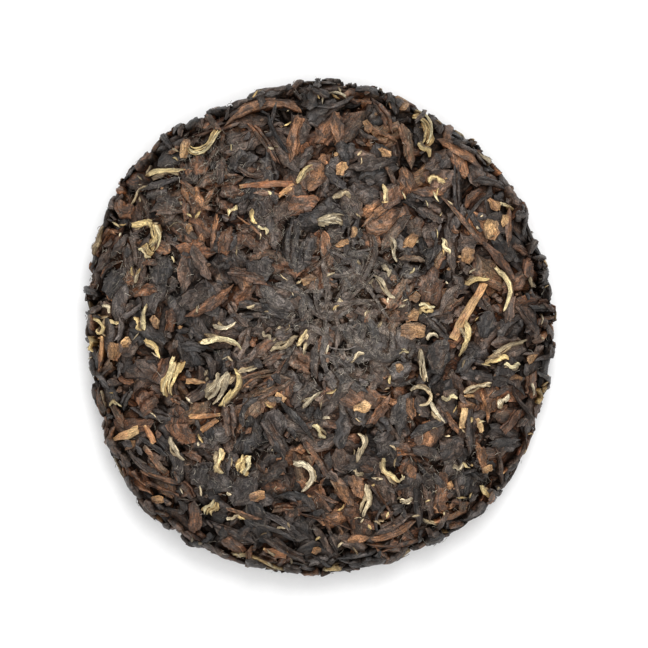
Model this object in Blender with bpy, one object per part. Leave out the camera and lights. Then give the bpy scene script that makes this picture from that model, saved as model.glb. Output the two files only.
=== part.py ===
"""Pressed oolong tea cake: one disc of twisted leaves, buds and twigs, compressed into a single solid.

Metres, +Z up. The origin is the middle of the underside, which the cake rests on.
The body is a soft-shouldered disc whose girth wanders as the real one does. Its surface is covered
with leaf-shaped bumps, and the larger leaves, buds, twigs and flakes that show are fused onto it.
"""

import math
import random

import bmesh
import bpy
import numpy as np
from mathutils import Vector

MM = 0.001

# The body, without the leaves that stand proud of it.
BODY_RADIUS = 52.5 * MM
GIRTH_HEIGHT = 6.6 * MM  # height of the widest girth above the underside
CROWN_HEIGHT = 17.6 * MM  # height of the middle of the top
UNDERSIDE_HEIGHT = 0.8 * MM  # the body's own underside; the pressed leaves fill the rest down to zero
CROWN_SQUARENESS = 3.0  # exponent of the shoulder curve: 2 is an ellipse, more is squarer
UNDERSIDE_SQUARENESS = 11.0
PROFILE_STEPS = 600

# The outline's distance from the middle towards each sixteenth of a turn, from +X round by +Y, in mm.
RIM_REACH = (51.6, 51.5, 53.0, 53.4, 54.2, 53.0, 54.0, 53.1, 51.0, 52.3, 55.5, 55.2, 54.4, 53.8, 54.3, 52.2)

# Leaf-shaped bumps that cover the whole surface.
BUMP_COUNT = 760
BUMP_HEIGHT = 1.25 * MM
BUMP_LENGTHS = (7.5 * MM, 12.5 * MM)
BUMP_WIDTHS = (2.6 * MM, 4.4 * MM)
BUMP_LOWEST = 0.35  # the lowest bump's height as a share of the highest
BUMP_SEED = 5
GOLDEN_ANGLE = math.pi * (3.0 - math.sqrt(5.0))

BODY_CUTS = 46  # cuts across each side of the cube that is rounded into the body
BODY_TRIANGLES = 3900  # left after the flat stretches are thinned
CAKE_TRIANGLES = 10900  # left after the slivers along the union's seams are thinned
FOOT_RADIUS = 9.0 * MM  # the flat spot in the middle of the underside
FOOT_SNAP = 0.25 * MM  # anything lower than this is pressed flat at zero

# How the fused pieces lie: depth that each reaches into the body, and height of its edge and of its ridge.
ROOT_DEPTH = 0.5 * MM
EDGE_LIFT = 1.2 * MM
LEAF_RIDGE = 2.1 * MM
BUD_RIDGE = 2.2 * MM
TWIG_RIDGE = 2.3 * MM
FLAKE_RIDGE = 1.7 * MM
STATION_LENGTH = 3.8 * MM  # spacing of the rings along a leaf
FEWEST_STATIONS = 3
FLAKE_SIDES = 6
FLAKE_UNEVENNESS = 0.16
FLAKE_SEED = 11

# Leaves pressed into the flank, spread evenly round it from the shoulder down to near the table.
FLANK_LEAF_COUNT = 32
FLANK_FROM_RADIUS = 46.0 * MM
FLANK_TO_HEIGHT = 3.2 * MM
FLANK_LENGTHS = (7.0 * MM, 12.0 * MM)
FLANK_WIDTHS = (1.6 * MM, 3.0 * MM)
FLANK_EDGE_LIFT = 0.9 * MM
FLANK_RIDGE = 1.5 * MM
FLANK_SLANT = 40.0  # the most that a flank leaf's heading turns away from running round the rim, degrees
FLANK_BEND = 25.0  # the most that it bends from its middle to either end, degrees
FLANK_SEED = 23

# The pieces that stand out on the top, seen from above, in millimetres and degrees.
# x, y of the middle, length, width, then the heading at the start, the middle and the end.
LEAVES = (
    (-5.5, 41.0, 11.0, 2.9, 256, 260, 268),
    (2.0, 43.0, 9.0, 4.4, 235, 232, 225),
    (14.0, 26.0, 12.5, 2.0, 212, 220, 228),
    (30.5, 38.0, 11.5, 2.6, -10, -22, -38),
    (39.5, 14.5, 11.5, 2.0, -40, -48, -62),
    (-15.5, 11.0, 9.5, 2.2, -8, -18, -28),
    (-23.5, 5.0, 13.0, 2.4, 214, 212, 212),
    (-34.0, -9.5, 6.5, 3.1, 60, 65, 70),
    (-29.5, -23.5, 6.0, 4.2, -60, -50, -40),
    (-27.0, -41.5, 8.0, 2.9, -80, -84, -90),
    (42.0, -20.5, 7.0, 2.6, 40, 45, 50),
    (13.5, -18.5, 8.5, 2.2, 225, 230, 235),
    (-20.5, 19.0, 7.0, 3.1, 80, 75, 70),
    (-22.5, 28.0, 8.0, 2.4, 88, 88, 88),
    (-12.5, 48.0, 20.0, 2.6, 35, 8, -40),
    (8.5, -35.0, 6.0, 3.1, -70, -75, -80),
    (35.5, -28.0, 7.0, 2.2, -82, -80, -75),
    (15.5, 28.5, 6.0, 4.4, 60, 60, 60),
    (-3.5, 27.0, 7.5, 4.0, 20, 10, 0),
    (-11.5, 40.0, 13.5, 1.8, -50, -58, -62),
    (11.0, 35.5, 10.5, 3.1, -2, 3, 35),
    (18.5, 39.5, 10.5, 3.1, -60, -72, -80),
    (16.5, 21.0, 10.0, 2.4, 215, 235, 250),
    (-9.5, -24.5, 10.0, 3.1, -50, -60, -70),
    (-16.5, -36.0, 8.0, 5.5, 60, 60, 60),
    (26.0, -6.0, 7.5, 3.7, 78, 75, 70),
    (17.5, -19.0, 10.5, 3.5, 80, 75, 70),
    (-1.0, -7.0, 9.0, 2.0, 88, 86, 84),
    (-27.0, -4.5, 7.0, 2.2, -5, -5, 0),
    (47.5, 28.0, 9.5, 2.0, -55, -62, -70),
    (33.0, -23.0, 11.0, 2.2, -80, -88, -95),
    (-3.0, 17.0, 7.5, 3.5, 70, 70, 70),
    (24.5, -21.5, 11.0, 2.0, 30, 20, 10),
)
BUDS = (
    (-33.5, 34.0, 9.0, 1.6, 30, 8, -12),
    (-24.5, 39.0, 10.0, 1.2, 225, 222, 110),
    (-35.5, 20.0, 13.0, 1.5, -5, -105, -50),
    (23.5, 43.0, 10.0, 1.8, 0, -70, -125),
    (41.0, 8.5, 11.0, 1.3, -40, -80, -120),
    (-47.0, 0.5, 9.0, 1.1, 250, 310, 20),
    (-20.5, -0.5, 6.0, 1.1, -60, 0, 60),
    (-21.5, -3.0, 10.0, 1.5, 0, -8, -55),
    (-32.5, -11.0, 9.0, 2.2, -105, -115, -60),
    (-21.5, -14.0, 10.0, 1.5, 240, 236, 228),
    (-7.5, -4.0, 7.0, 1.3, 15, 25, 40),
    (24.0, -14.0, 9.5, 1.1, 60, -60, -190),
    (32.5, -3.0, 8.5, 1.6, -45, -95, -140),
    (41.0, -4.5, 10.0, 1.1, 30, 22, 20),
    (-22.0, -29.5, 6.0, 1.6, -110, -95, -45),
    (-12.5, -50.5, 14.0, 1.2, 30, -30, 15),
    (-2.0, -32.0, 10.0, 1.6, 5, -75, -150),
    (9.5, -26.5, 7.0, 1.4, -60, -100, -130),
    (10.5, -38.0, 7.5, 1.6, -95, -100, -105),
    (15.0, -32.0, 7.0, 1.4, -80, -60, 0),
)
TWIGS = (
    (-11.5, 31.0, 12.0, 1.4, 4, 2, 2),
    (-25.0, -19.5, 7.0, 1.2, 3, 5, 8),
    (31.5, -20.0, 4.5, 1.4, 82, 82, 82),
    (-42.0, -23.5, 7.5, 1.9, 27, 27, 27),
    (-9.5, -49.0, 5.5, 1.8, -14, -12, -10),
    (-0.5, -29.0, 10.0, 1.4, -58, -58, -58),
    (32.5, 3.5, 14.0, 2.2, -122, -120, -116),
    (31.0, 23.5, 13.5, 1.1, -42, -50, -48),
)
FLAKES = (
    (24.5, 9.0, 8.5, 5.7, 80),
    (-37.5, -16.0, 6.0, 5.3, 40),
    (20.5, -1.0, 5.5, 3.5, -5),
    (37.5, 21.0, 4.5, 3.5, 80),
    (17.5, 48.0, 5.0, 4.2, 20),
    (6.0, 38.5, 5.5, 4.0, -80),
    (-10.0, -30.0, 7.0, 6.2, 40),
    (-26.0, -32.5, 5.7, 4.8, 70),
    (36.5, 0.5, 6.2, 4.0, 70),
    (29.0, -26.5, 6.6, 5.3, 30),
    (-12.5, 13.0, 6.2, 5.3, -50),
    (-44.5, 10.0, 7.9, 4.8, 50),
    (-45.0, -5.5, 4.0, 3.1, 80),
)


def build_profile():
    """The body's half outline from the middle of the top, over the girth, to the middle of the underside.

    Returns distance from the axis, height, both parts of the outward normal, and the share of the
    surface's area passed so far, at even steps along the line.
    """
    turn = np.linspace(0.0, math.pi / 2, 4000)
    crown = CROWN_HEIGHT - GIRTH_HEIGHT
    belly = GIRTH_HEIGHT - UNDERSIDE_HEIGHT
    top_r = BODY_RADIUS * np.sin(turn) ** (2.0 / CROWN_SQUARENESS)
    top_z = GIRTH_HEIGHT + crown * np.cos(turn)
    under_r = BODY_RADIUS * np.sin(turn[::-1]) ** (2.0 / UNDERSIDE_SQUARENESS)
    under_z = GIRTH_HEIGHT - belly * np.cos(turn[::-1])
    r = np.concatenate([top_r, under_r[1:]])
    z = np.concatenate([top_z, under_z[1:]])
    walked = np.concatenate([[0.0], np.cumsum(np.hypot(np.diff(r), np.diff(z)))])
    even = np.linspace(0.0, walked[-1], PROFILE_STEPS)
    r, z = np.interp(even, walked, r), np.interp(even, walked, z)
    dr, dz = np.gradient(r), np.gradient(z)
    length = np.hypot(dr, dz)
    area = np.cumsum(r)
    return r, z, -dz / length, dr / length, area / area[-1]


PROFILE_R, PROFILE_Z, NORMAL_R, NORMAL_Z, AREA_SHARE = build_profile()
GIRTH_STEP = int(np.argmax(PROFILE_R))


def girth_scale(theta):
    """How much wider or narrower than the mean the cake is towards each angle, along a smooth curve."""
    reach = np.array(RIM_REACH)
    at = np.asarray(theta) / math.tau * len(reach)
    first = np.floor(at).astype(int)
    u = at - first
    before, here, after, beyond = (reach[(first + k) % len(reach)] for k in (-1, 0, 1, 2))
    bend = 2 * before - 5 * here + 4 * after - beyond + u * (3 * (here - after) + beyond - before)
    return (here + 0.5 * u * (after - before + u * bend)) / reach.mean()


def on_body(step, theta, height=0.0):
    """The points, and their outward normals, at a height over the profile's (fractional) steps."""
    at = np.arange(PROFILE_STEPS)
    r, z = np.interp(step, at, PROFILE_R), np.interp(step, at, PROFILE_Z)
    normal_r, normal_z = np.interp(step, at, NORMAL_R), np.interp(step, at, NORMAL_Z)
    out = r * girth_scale(theta) + normal_r * height
    points = np.stack([out * np.cos(theta), out * np.sin(theta), z + normal_z * height], -1)
    normals = np.stack([normal_r * np.cos(theta), normal_r * np.sin(theta), normal_z], -1)
    return points, normals


def nearest_on_body(points):
    """The profile step and the angle of the body's surface nearest to each point."""
    theta = np.arctan2(points[:, 1], points[:, 0])
    r = np.hypot(points[:, 0], points[:, 1]) / girth_scale(theta)
    gap = np.hypot(r[:, None] - PROFILE_R, points[:, 2][:, None] - PROFILE_Z)
    return gap.argmin(axis=1).astype(float), theta


def top_place(x, y):
    """The step and the angle of the top's surface right under a place seen from above."""
    theta = math.atan2(y, x)
    r = math.hypot(x, y) / float(girth_scale(theta))
    step = np.interp(r, PROFILE_R[: GIRTH_STEP + 1], np.arange(GIRTH_STEP + 1))
    return step, theta


def leaf_bumps():
    """Places, directions and sizes of the bumps, spread evenly over the whole body by a golden spiral."""
    draw = random.Random(BUMP_SEED)
    rows = []
    for k in range(BUMP_COUNT):
        share = min(0.999, max(0.001, (k + draw.random()) / BUMP_COUNT))
        step = np.interp(share, AREA_SHARE, np.arange(PROFILE_STEPS))
        theta = k * GOLDEN_ANGLE + draw.uniform(-0.05, 0.05)
        point, normal = on_body(step, theta)
        heading = draw.uniform(0.0, math.pi)
        half_length = draw.uniform(*BUMP_LENGTHS) / 2
        half_width = draw.uniform(*BUMP_WIDTHS) / 2
        height = BUMP_HEIGHT * draw.uniform(BUMP_LOWEST, 1.0)
        along, across = directions(normal, heading)
        rows.append((point, along, across, half_length, half_width, height))
    return rows


def directions(normal, heading):
    """Along and across directions in the surface for a heading that is seen from above."""
    seen = np.array([math.cos(heading), math.sin(heading), 0.0])
    along = seen - normal * float(seen @ normal)
    if np.linalg.norm(along) < 0.2:
        along = np.array([0.0, 0.0, 1.0]) - normal * normal[2]
    along /= np.linalg.norm(along)
    return along, np.cross(normal, along)


def bump_heights(points):
    """Height of the leaf-shaped bumps over each point of the body: the tallest bump there wins."""
    heights = np.zeros(len(points))
    for centre, along, across, half_length, half_width, height in leaf_bumps():
        offset = points - centre
        near = np.einsum("ij,ij->i", offset, offset) < half_length**2
        u, v = offset[near] @ along / half_length, offset[near] @ across / half_width
        share = np.clip(1.0 - (u * u + v * v) ** 2, 0.0, 1.0)
        heights[near] = np.maximum(heights[near], height * np.sqrt(share))
    return heights


def new_object(name, bm, material):
    """An object made from a bmesh, with one material."""
    mesh = bpy.data.meshes.new(name)
    bm.to_mesh(mesh)
    bm.free()
    mesh.materials.append(material)
    obj = bpy.data.objects.new(name, mesh)
    bpy.context.scene.collection.objects.link(obj)
    return obj


def make_body(material):
    """The disc itself: a cube rounded to a ball, let out to the body, bumped, thinned and pressed flat."""
    bm = bmesh.new()
    bmesh.ops.create_cube(bm, size=2.0)
    bmesh.ops.subdivide_edges(bm, edges=bm.edges[:], cuts=BODY_CUTS, use_grid_fill=True)
    ball = np.array([tan_spread(vert.co).normalized() for vert in bm.verts])
    step = np.interp((1.0 - ball[:, 2]) / 2, AREA_SHARE, np.arange(PROFILE_STEPS))
    theta = np.arctan2(ball[:, 1], ball[:, 0])
    smooth, _ = on_body(step, theta)
    points, _ = on_body(step, theta, bump_heights(smooth))
    for vert, point in zip(bm.verts, points):
        vert.co = point
    press_foot(bm.verts)
    body = new_object("tea_cake", bm, material)
    thin_to(body, BODY_TRIANGLES)
    return body


def thin_to(body, triangles):
    """Splits the faces into triangles and merges the flattest until about so many are left."""
    bm = bmesh.new()
    bm.from_mesh(body.data)
    bmesh.ops.triangulate(bm, faces=bm.faces[:])
    share = triangles / len(bm.faces)
    bm.to_mesh(body.data)
    bm.free()
    thin = body.modifiers.new("thin", "DECIMATE")
    thin.ratio = min(1.0, share)
    apply_modifier(body, thin)
    press_foot(body.data.vertices)


def tan_spread(co):
    """Evens out the cube's grid before it is rounded."""
    return Vector([math.tan(c * math.pi / 4) for c in co])


def press_foot(verts):
    """Presses what reaches the table flat, and fills the middle of the underside to give a true flat spot."""
    for vert in verts:
        in_foot = math.hypot(vert.co.x, vert.co.y) < FOOT_RADIUS and vert.co.z < GIRTH_HEIGHT
        if in_foot or vert.co.z < FOOT_SNAP:
            vert.co.z = 0.0


def apply_modifier(obj, modifier):
    """Applies one modifier to its object."""
    with bpy.context.temp_override(object=obj, active_object=obj, selected_objects=[obj]):
        bpy.ops.object.modifier_apply(modifier=modifier.name)


def walk(length, headings, stations):
    """A centreline about its own middle: its points, and the heading and the share of the way at each."""
    first, middle, last = headings
    share = np.linspace(0.0, 1.0, stations)
    turn = [first * (1 - s) * (1 - 2 * s) + middle * 4 * s * (1 - s) + last * s * (2 * s - 1) for s in share]
    heading = np.radians(turn)
    pace = length / (stations - 1)
    mid_heading = (heading[1:] + heading[:-1]) / 2
    steps = np.stack([np.cos(mid_heading), np.sin(mid_heading)], -1) * pace
    path = np.concatenate([[[0.0, 0.0]], np.cumsum(steps, axis=0)])
    centre = path[(stations - 1) // 2 : stations // 2 + 1].mean(axis=0)
    return path - centre, heading, share


def laid_down(place, plan, heights):
    """Carries a flat plan, drawn about a place on the body, onto the body's surface at the given heights."""
    centre, normal = on_body(*place)
    along, across = directions(normal, 0.0)
    tangent = centre + plan[:, :1] * along + plan[:, 1:] * across
    step, theta = nearest_on_body(tangent)
    points, _ = on_body(step, theta, heights)
    return points


def ringed_piece(name, place, size, headings, edge_lift, ridge, blunt, material):
    """A leaf, bud or twig: four-sided rings along its centreline, drawn to a point at each end.

    Its edges and its ridge lie at two heights over the body. blunt is 0 for a leaf that tapers all the
    way to its ends, and 1 for a twig that keeps its width.
    """
    length, width = size
    stations = max(FEWEST_STATIONS, round(length / STATION_LENGTH) + 1) + 2
    path, heading, share = walk(length, headings, stations)
    half = width / 2 * (np.sin(np.pi * share) ** 0.7 * (1 - blunt) + blunt)
    side = np.stack([-np.sin(heading), np.cos(heading)], -1) * half[:, None]
    left = laid_down(place, path + side, np.full(stations, edge_lift))
    right = laid_down(place, path - side, np.full(stations, edge_lift))
    rise = (ridge - edge_lift) * np.maximum(blunt, np.sin(np.pi * share))
    crest = laid_down(place, path, edge_lift + rise)
    root = laid_down(place, path, np.full(stations, -ROOT_DEPTH))
    bm = bmesh.new()
    rings = [
        [bm.verts.new(line[i]) for line in (left, crest, right, root)] for i in range(1, stations - 1)
    ]
    for ring, following in zip(rings, rings[1:]):
        for k in range(4):
            bm.faces.new((ring[k], following[k], following[k - 1], ring[k - 1]))
    for ring, end in ((rings[0], 0), (rings[-1], stations - 1)):
        tip = bm.verts.new((crest[end] + root[end]) / 2)
        for k in range(4):
            bm.faces.new((ring[k], ring[k - 1], tip))
    return closed_piece(name, bm, material)


def flake_piece(name, row, draw, material):
    """A broad broken flake: an uneven many-sided plate with a slightly raised middle."""
    x, y, length, width, heading = row
    place = top_place(x * MM, y * MM)
    ring = []
    for k in range(FLAKE_SIDES):
        angle = 2 * math.pi * (k + draw.uniform(-0.2, 0.2)) / FLAKE_SIDES
        reach = 1.0 + draw.uniform(-FLAKE_UNEVENNESS, FLAKE_UNEVENNESS)
        ring.append((length * MM / 2 * reach * math.cos(angle), width * MM / 2 * reach * math.sin(angle)))
    turn = math.radians(heading)
    ring = np.array(ring) @ np.array([[math.cos(turn), math.sin(turn)], [-math.sin(turn), math.cos(turn)]])
    rim = laid_down(place, ring, np.full(FLAKE_SIDES, (EDGE_LIFT + FLAKE_RIDGE) / 2))
    root = laid_down(place, ring * 0.8, np.full(FLAKE_SIDES, -ROOT_DEPTH))
    middle = laid_down(place, np.zeros((2, 2)), np.array([FLAKE_RIDGE, -ROOT_DEPTH]))
    bm = bmesh.new()
    upper, lower = ([bm.verts.new(point) for point in line] for line in (rim, root))
    top, bottom = (bm.verts.new(point) for point in middle)
    for k in range(FLAKE_SIDES):
        bm.faces.new((upper[k - 1], upper[k], top))
        bm.faces.new((lower[k], lower[k - 1], bottom))
        bm.faces.new((lower[k - 1], lower[k], upper[k], upper[k - 1]))
    return closed_piece(name, bm, material)


def flank_leaves(material):
    """The leaves of the flank, which run mostly round the rim, dealt out by a golden spiral."""
    draw = random.Random(FLANK_SEED)
    first = np.interp(FLANK_FROM_RADIUS, PROFILE_R[: GIRTH_STEP + 1], np.arange(GIRTH_STEP + 1))
    last = GIRTH_STEP + np.argmax(PROFILE_Z[GIRTH_STEP:] < FLANK_TO_HEIGHT)
    leaves = []
    for k in range(FLANK_LEAF_COUNT):
        step = first + (last - first) * (k + 0.5) / FLANK_LEAF_COUNT
        theta = k * GOLDEN_ANGLE
        size = draw.uniform(*FLANK_LENGTHS), draw.uniform(*FLANK_WIDTHS)
        middle = rim_heading(step, theta) + draw.uniform(-FLANK_SLANT, FLANK_SLANT)
        bend = draw.uniform(-FLANK_BEND, FLANK_BEND)
        headings = middle - bend, middle, middle + bend
        lifts = FLANK_EDGE_LIFT, FLANK_RIDGE
        leaves.append(ringed_piece(f"flank_leaf_{k}", (step, theta), size, headings, *lifts, 0.0, material))
    return leaves


def rim_heading(step, theta):
    """The heading, in degrees in the surface at a place, that runs round the rim."""
    _, normal = on_body(step, theta)
    along, across = directions(normal, 0.0)
    around = np.array([-math.sin(theta), math.cos(theta), 0.0])
    return math.degrees(math.atan2(float(around @ across), float(around @ along)))


def closed_piece(name, bm, material):
    """Splits a piece's faces into triangles, turns them outwards, and makes its object."""
    bmesh.ops.triangulate(bm, faces=bm.faces[:])
    bmesh.ops.recalc_face_normals(bm, faces=bm.faces[:])
    return new_object(name, bm, material)


def fuse(body, pieces):
    """One union of the body with all its pieces, which are then removed."""
    loose = bpy.data.collections.new("loose_pieces")
    bpy.context.scene.collection.children.link(loose)
    for piece in pieces:
        bpy.context.scene.collection.objects.unlink(piece)
        loose.objects.link(piece)
    union = body.modifiers.new("union", "BOOLEAN")
    union.operation = "UNION"
    union.operand_type = "COLLECTION"
    union.collection = loose
    union.solver = "MANIFOLD"  # EXACT leaves a few open edges where leaves cross
    apply_modifier(body, union)
    for piece in pieces:
        bpy.data.objects.remove(piece)
    bpy.data.collections.remove(loose)
    keep_largest_shell(body)
    thin_to(body, CAKE_TRIANGLES)


def keep_largest_shell(body):
    """Fills any hollow shut inside the union and drops any scrap cut free of it."""
    bm = bmesh.new()
    bm.from_mesh(body.data)
    unseen = set(bm.verts)
    shells = []
    while unseen:
        edge_of_search = [unseen.pop()]
        shell = set(edge_of_search)
        while edge_of_search:
            vert = edge_of_search.pop()
            for edge in vert.link_edges:
                other = edge.other_vert(vert)
                if other in unseen:
                    unseen.discard(other)
                    shell.add(other)
                    edge_of_search.append(other)
        shells.append(shell)
    shells.sort(key=len)
    for shell in shells[:-1]:
        bmesh.ops.delete(bm, geom=list(shell), context="VERTS")
    bm.to_mesh(body.data)
    bm.free()


def make_material():
    """Dark, slightly glossy dried leaf."""
    material = bpy.data.materials.new("pressed_leaf")
    material.use_nodes = True
    surface = material.node_tree.nodes["Principled BSDF"]
    surface.inputs["Base Color"].default_value = (0.045, 0.030, 0.022, 1.0)
    surface.inputs["Roughness"].default_value = 0.62
    surface.inputs["Metallic"].default_value = 0.0
    return material


def main():
    for obj in list(bpy.data.objects):
        bpy.data.objects.remove(obj)
    material = make_material()
    body = make_body(material)
    pieces = []
    for kind, rows, ridge, blunt in (
        ("leaf", LEAVES, LEAF_RIDGE, 0.0),
        ("bud", BUDS, BUD_RIDGE, 0.25),
        ("twig", TWIGS, TWIG_RIDGE, 1.0),
    ):
        for k, (x, y, length, width, *headings) in enumerate(rows):
            place, size = top_place(x * MM, y * MM), (length * MM, width * MM)
            lifts = EDGE_LIFT, ridge
            pieces.append(ringed_piece(f"{kind}_{k}", place, size, headings, *lifts, blunt, material))
    draw = random.Random(FLAKE_SEED)
    for k, row in enumerate(FLAKES):
        pieces.append(flake_piece(f"flake_{k}", row, draw, material))
    fuse(body, pieces + flank_leaves(material))


main()
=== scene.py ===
"""A pressed oolong tea cake in a plain studio: leaves, buds, twigs and crumbs over a dark core."""

import math
import random
from collections import namedtuple

import bmesh
import bpy
import numpy as np
from bpy.props import FloatProperty, FloatVectorProperty, IntProperty, PointerProperty
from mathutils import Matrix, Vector, noise
from mathutils.kdtree import KDTree


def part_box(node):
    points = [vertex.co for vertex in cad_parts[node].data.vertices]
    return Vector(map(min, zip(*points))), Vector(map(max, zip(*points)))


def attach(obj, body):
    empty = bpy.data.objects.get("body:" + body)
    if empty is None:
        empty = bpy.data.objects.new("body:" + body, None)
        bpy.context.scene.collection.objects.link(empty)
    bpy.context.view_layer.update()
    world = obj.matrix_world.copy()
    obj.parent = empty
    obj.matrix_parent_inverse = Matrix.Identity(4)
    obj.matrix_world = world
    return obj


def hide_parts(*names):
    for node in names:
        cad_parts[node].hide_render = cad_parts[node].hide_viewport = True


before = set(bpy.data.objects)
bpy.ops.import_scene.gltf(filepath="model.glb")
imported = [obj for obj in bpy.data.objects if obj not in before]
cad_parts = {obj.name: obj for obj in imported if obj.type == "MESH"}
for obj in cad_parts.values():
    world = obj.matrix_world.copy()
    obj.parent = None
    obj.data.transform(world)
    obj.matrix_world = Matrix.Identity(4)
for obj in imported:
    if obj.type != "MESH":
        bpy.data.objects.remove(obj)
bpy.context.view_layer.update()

bl_info = {
    "name": "Pressed Tea Cake",
    "version": (1, 0, 0),
    "blender": (4, 5, 0),
    "location": "3D View > Sidebar > Tea Cake",
    "description": "Lays the leaves, buds and twigs of a pressed tea cake and sets its studio",
    "category": "Object",
}

NODE = "tea_cake"
BODY = "root"
MM = 0.001
LOWEST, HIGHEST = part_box(NODE)

PHOTO_PIXELS = 648  # the photograph is square
CAKE_MIDDLE_PIXEL = (319.2, 326.5)  # where the middle of the cake stands in it
GOLDEN_ANGLE = math.pi * (3.0 - math.sqrt(5.0))

# The outline's distance from the middle towards each sixteenth of a turn, from +X round by +Y, in mm.
RIM_REACH = (51.6, 51.5, 53.0, 53.4, 54.2, 53.0, 54.0, 53.1, 51.0, 52.3, 55.5, 55.2, 54.4, 53.8, 54.3, 52.2)

# The pieces that stand out on the top as the camera sees them, in millimetres and degrees: x, y of the
# middle, length, width, then the heading at the start, the middle and the end, or one for a straight piece.
GOLDEN_BUDS = (
    (-33.5, 34.0, 9.0, 1.6, 30, 8, -12), (-24.5, 39.0, 10.0, 1.2, 225, 222, 110),
    (-38.0, 22.5, 6.0, 1.5, 0, -5, -40), (-35.5, 19.5, 6.5, 1.8, -65, -95, -135),
    (-37.5, 16.5, 3.5, 2.0, -45, -40, -35), (-19.0, 25.5, 3.0, 1.1, 39),
    (-14.5, 24.0, 3.5, 1.4, -60, -55, -50), (-12.0, 21.5, 3.0, 0.9, 10, -40, -110),
    (23.5, 43.0, 10.0, 1.8, 0, -70, -125), (23.0, 38.5, 4.0, 1.2, -25, -42, -60),
    (25.5, 32.5, 4.5, 1.2, 60, 0, -80), (14.5, 29.0, 4.0, 1.0, -40, -75, -110),
    (27.5, 17.5, 4.0, 1.0, -75, -68, -55), (-3.5, 33.5, 5.5, 1.2, 50, 43, 30),
    (41.0, 8.5, 11.0, 1.3, -40, -80, -120), (34.5, 10.0, 5.5, 1.4, -5, 8, 20),
    (-47.0, 0.5, 9.0, 1.1, 250, 310, 20), (-44.5, 1.0, 2.5, 1.1, 10, 12, 10),
    (-39.5, 0.5, 3.5, 1.2, -75, -65, -55), (-38.0, 2.0, 6.0, 1.1, 80, 78, 75),
    (-36.0, -4.5, 5.5, 1.2, -35, -55, -60), (-21.5, -3.0, 10.0, 1.5, 0, -8, -55),
    (-32.5, -11.0, 9.0, 2.2, -105, -115, -60), (-18.5, -14.0, 10.0, 1.5, -80, -115, -165),
    (-3.5, -2.5, 4.0, 1.1, 10, 60, 80), (23.5, 4.0, 3.5, 1.8, 0, -10, -30), (18.5, -5.5, 2.5, 1.1, 0),
    (32.5, -3.0, 8.5, 1.6, -45, -95, -140), (42.0, -8.5, 4.0, 1.2, -20, -8, 15),
    (38.5, -7.0, 6.0, 1.3, 25, 15, -35), (48.5, -12.0, 5.5, 1.3, 10, -5, -70),
    (28.5, -15.5, 3.5, 1.3, 5, 0, 0), (44.0, -27.5, 3.5, 1.0, 20, 10, -60),
    (15.0, -32.0, 7.0, 1.4, -80, -60, 0), (36.0, -36.0, 5.5, 1.1, -75, -65, -55),
    (-44.5, -16.5, 2.0, 1.2, 0), (-22.0, -29.5, 6.0, 1.6, -110, -95, -45),
    (-16.5, -30.0, 4.5, 2.4, 60, 70, 60), (-23.5, -39.5, 4.0, 2.0, 60, 50, 45),
    (-12.5, -50.5, 14.0, 1.2, 30, -30, 15), (0.0, -23.0, 4.0, 1.3, -45, -50, -45),
)  # fmt: skip
SILVER_BUDS = (
    (-50.0, 17.5, 5.0, 1.1, 85, 80, 100), (2.5, 23.5, 6.0, 1.8, 10, 5, -10),
    (5.0, 29.0, 4.5, 1.1, 30, 10, -80), (16.5, 17.0, 6.0, 0.9, -60, -85, -70),
    (47.5, 14.0, 3.0, 0.7, -50, -110, -140), (46.0, 9.5, 2.5, 1.3, -30, -20, 10),
    (-39.5, 11.0, 3.5, 1.0, 50, 55, 70), (-46.0, 4.0, 2.5, 1.3, -60, -55, -50),
    (-20.5, -0.5, 6.0, 1.1, -60, 0, 60), (-11.5, -2.0, 2.5, 1.1, -40), (-16.0, -9.5, 5.0, 0.9, 35, 20, 10),
    (-7.5, -4.0, 7.0, 1.3, 15, 25, 40), (-3.0, -5.0, 3.0, 1.1, -60, -80, -100),
    (4.0, 5.0, 3.5, 1.3, 60, 62, 65), (10.5, 2.5, 2.0, 0.9, 60, 90, -60), (8.0, -6.5, 4.0, 1.2, 15, 22, 25),
    (14.5, 8.5, 7.5, 1.0, -45, -55, -30), (11.5, 9.5, 2.0, 1.0, 80), (15.0, 12.5, 3.0, 1.1, -50, -55, -60),
    (24.5, -2.0, 3.0, 1.3, 40, 0, -60), (22.5, -8.5, 7.5, 1.1, -80, -85, -70),
    (24.0, -14.0, 9.5, 1.1, 60, -60, -190), (25.5, -19.0, 6.0, 1.1, -90, -65, -35),
    (41.0, -4.5, 10.0, 1.1, 30, 22, 20), (46.0, -13.5, 3.0, 1.0, -100, -95, -90),
    (34.5, -13.0, 6.5, 1.1, 10, 25, -20), (40.0, -16.0, 4.0, 1.2, 45, 40, 35), (30.5, -30.5, 3.0, 1.5, 0),
    (-31.5, -27.0, 6.0, 1.2, -100, -60, -20), (-43.0, -31.0, 7.0, 1.2, -20, 5, -25),
    (-18.5, -41.5, 3.5, 1.1, 45, 0, -30), (-2.0, -32.0, 10.0, 1.6, 5, -75, -150),
    (8.5, -32.0, 2.5, 1.2, -40), (9.5, -26.5, 7.0, 1.4, -60, -100, -130),
    (10.5, -38.0, 7.5, 1.6, -95, -100, -105), (19.0, -38.0, 3.0, 1.1, 0, 0, 10),
    (13.5, -42.5, 2.0, 1.0, 25), (17.5, -49.0, 5.0, 1.3, 70, 45, -40), (-2.0, -53.0, 2.5, 1.3, 70, 75, 80),
    (-1.5, -16.0, 6.0, 1.1, 30, 33, 35), (-22.0, -13.0, 8.0, 2.9, 240, 236, 228),
)  # fmt: skip
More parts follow.
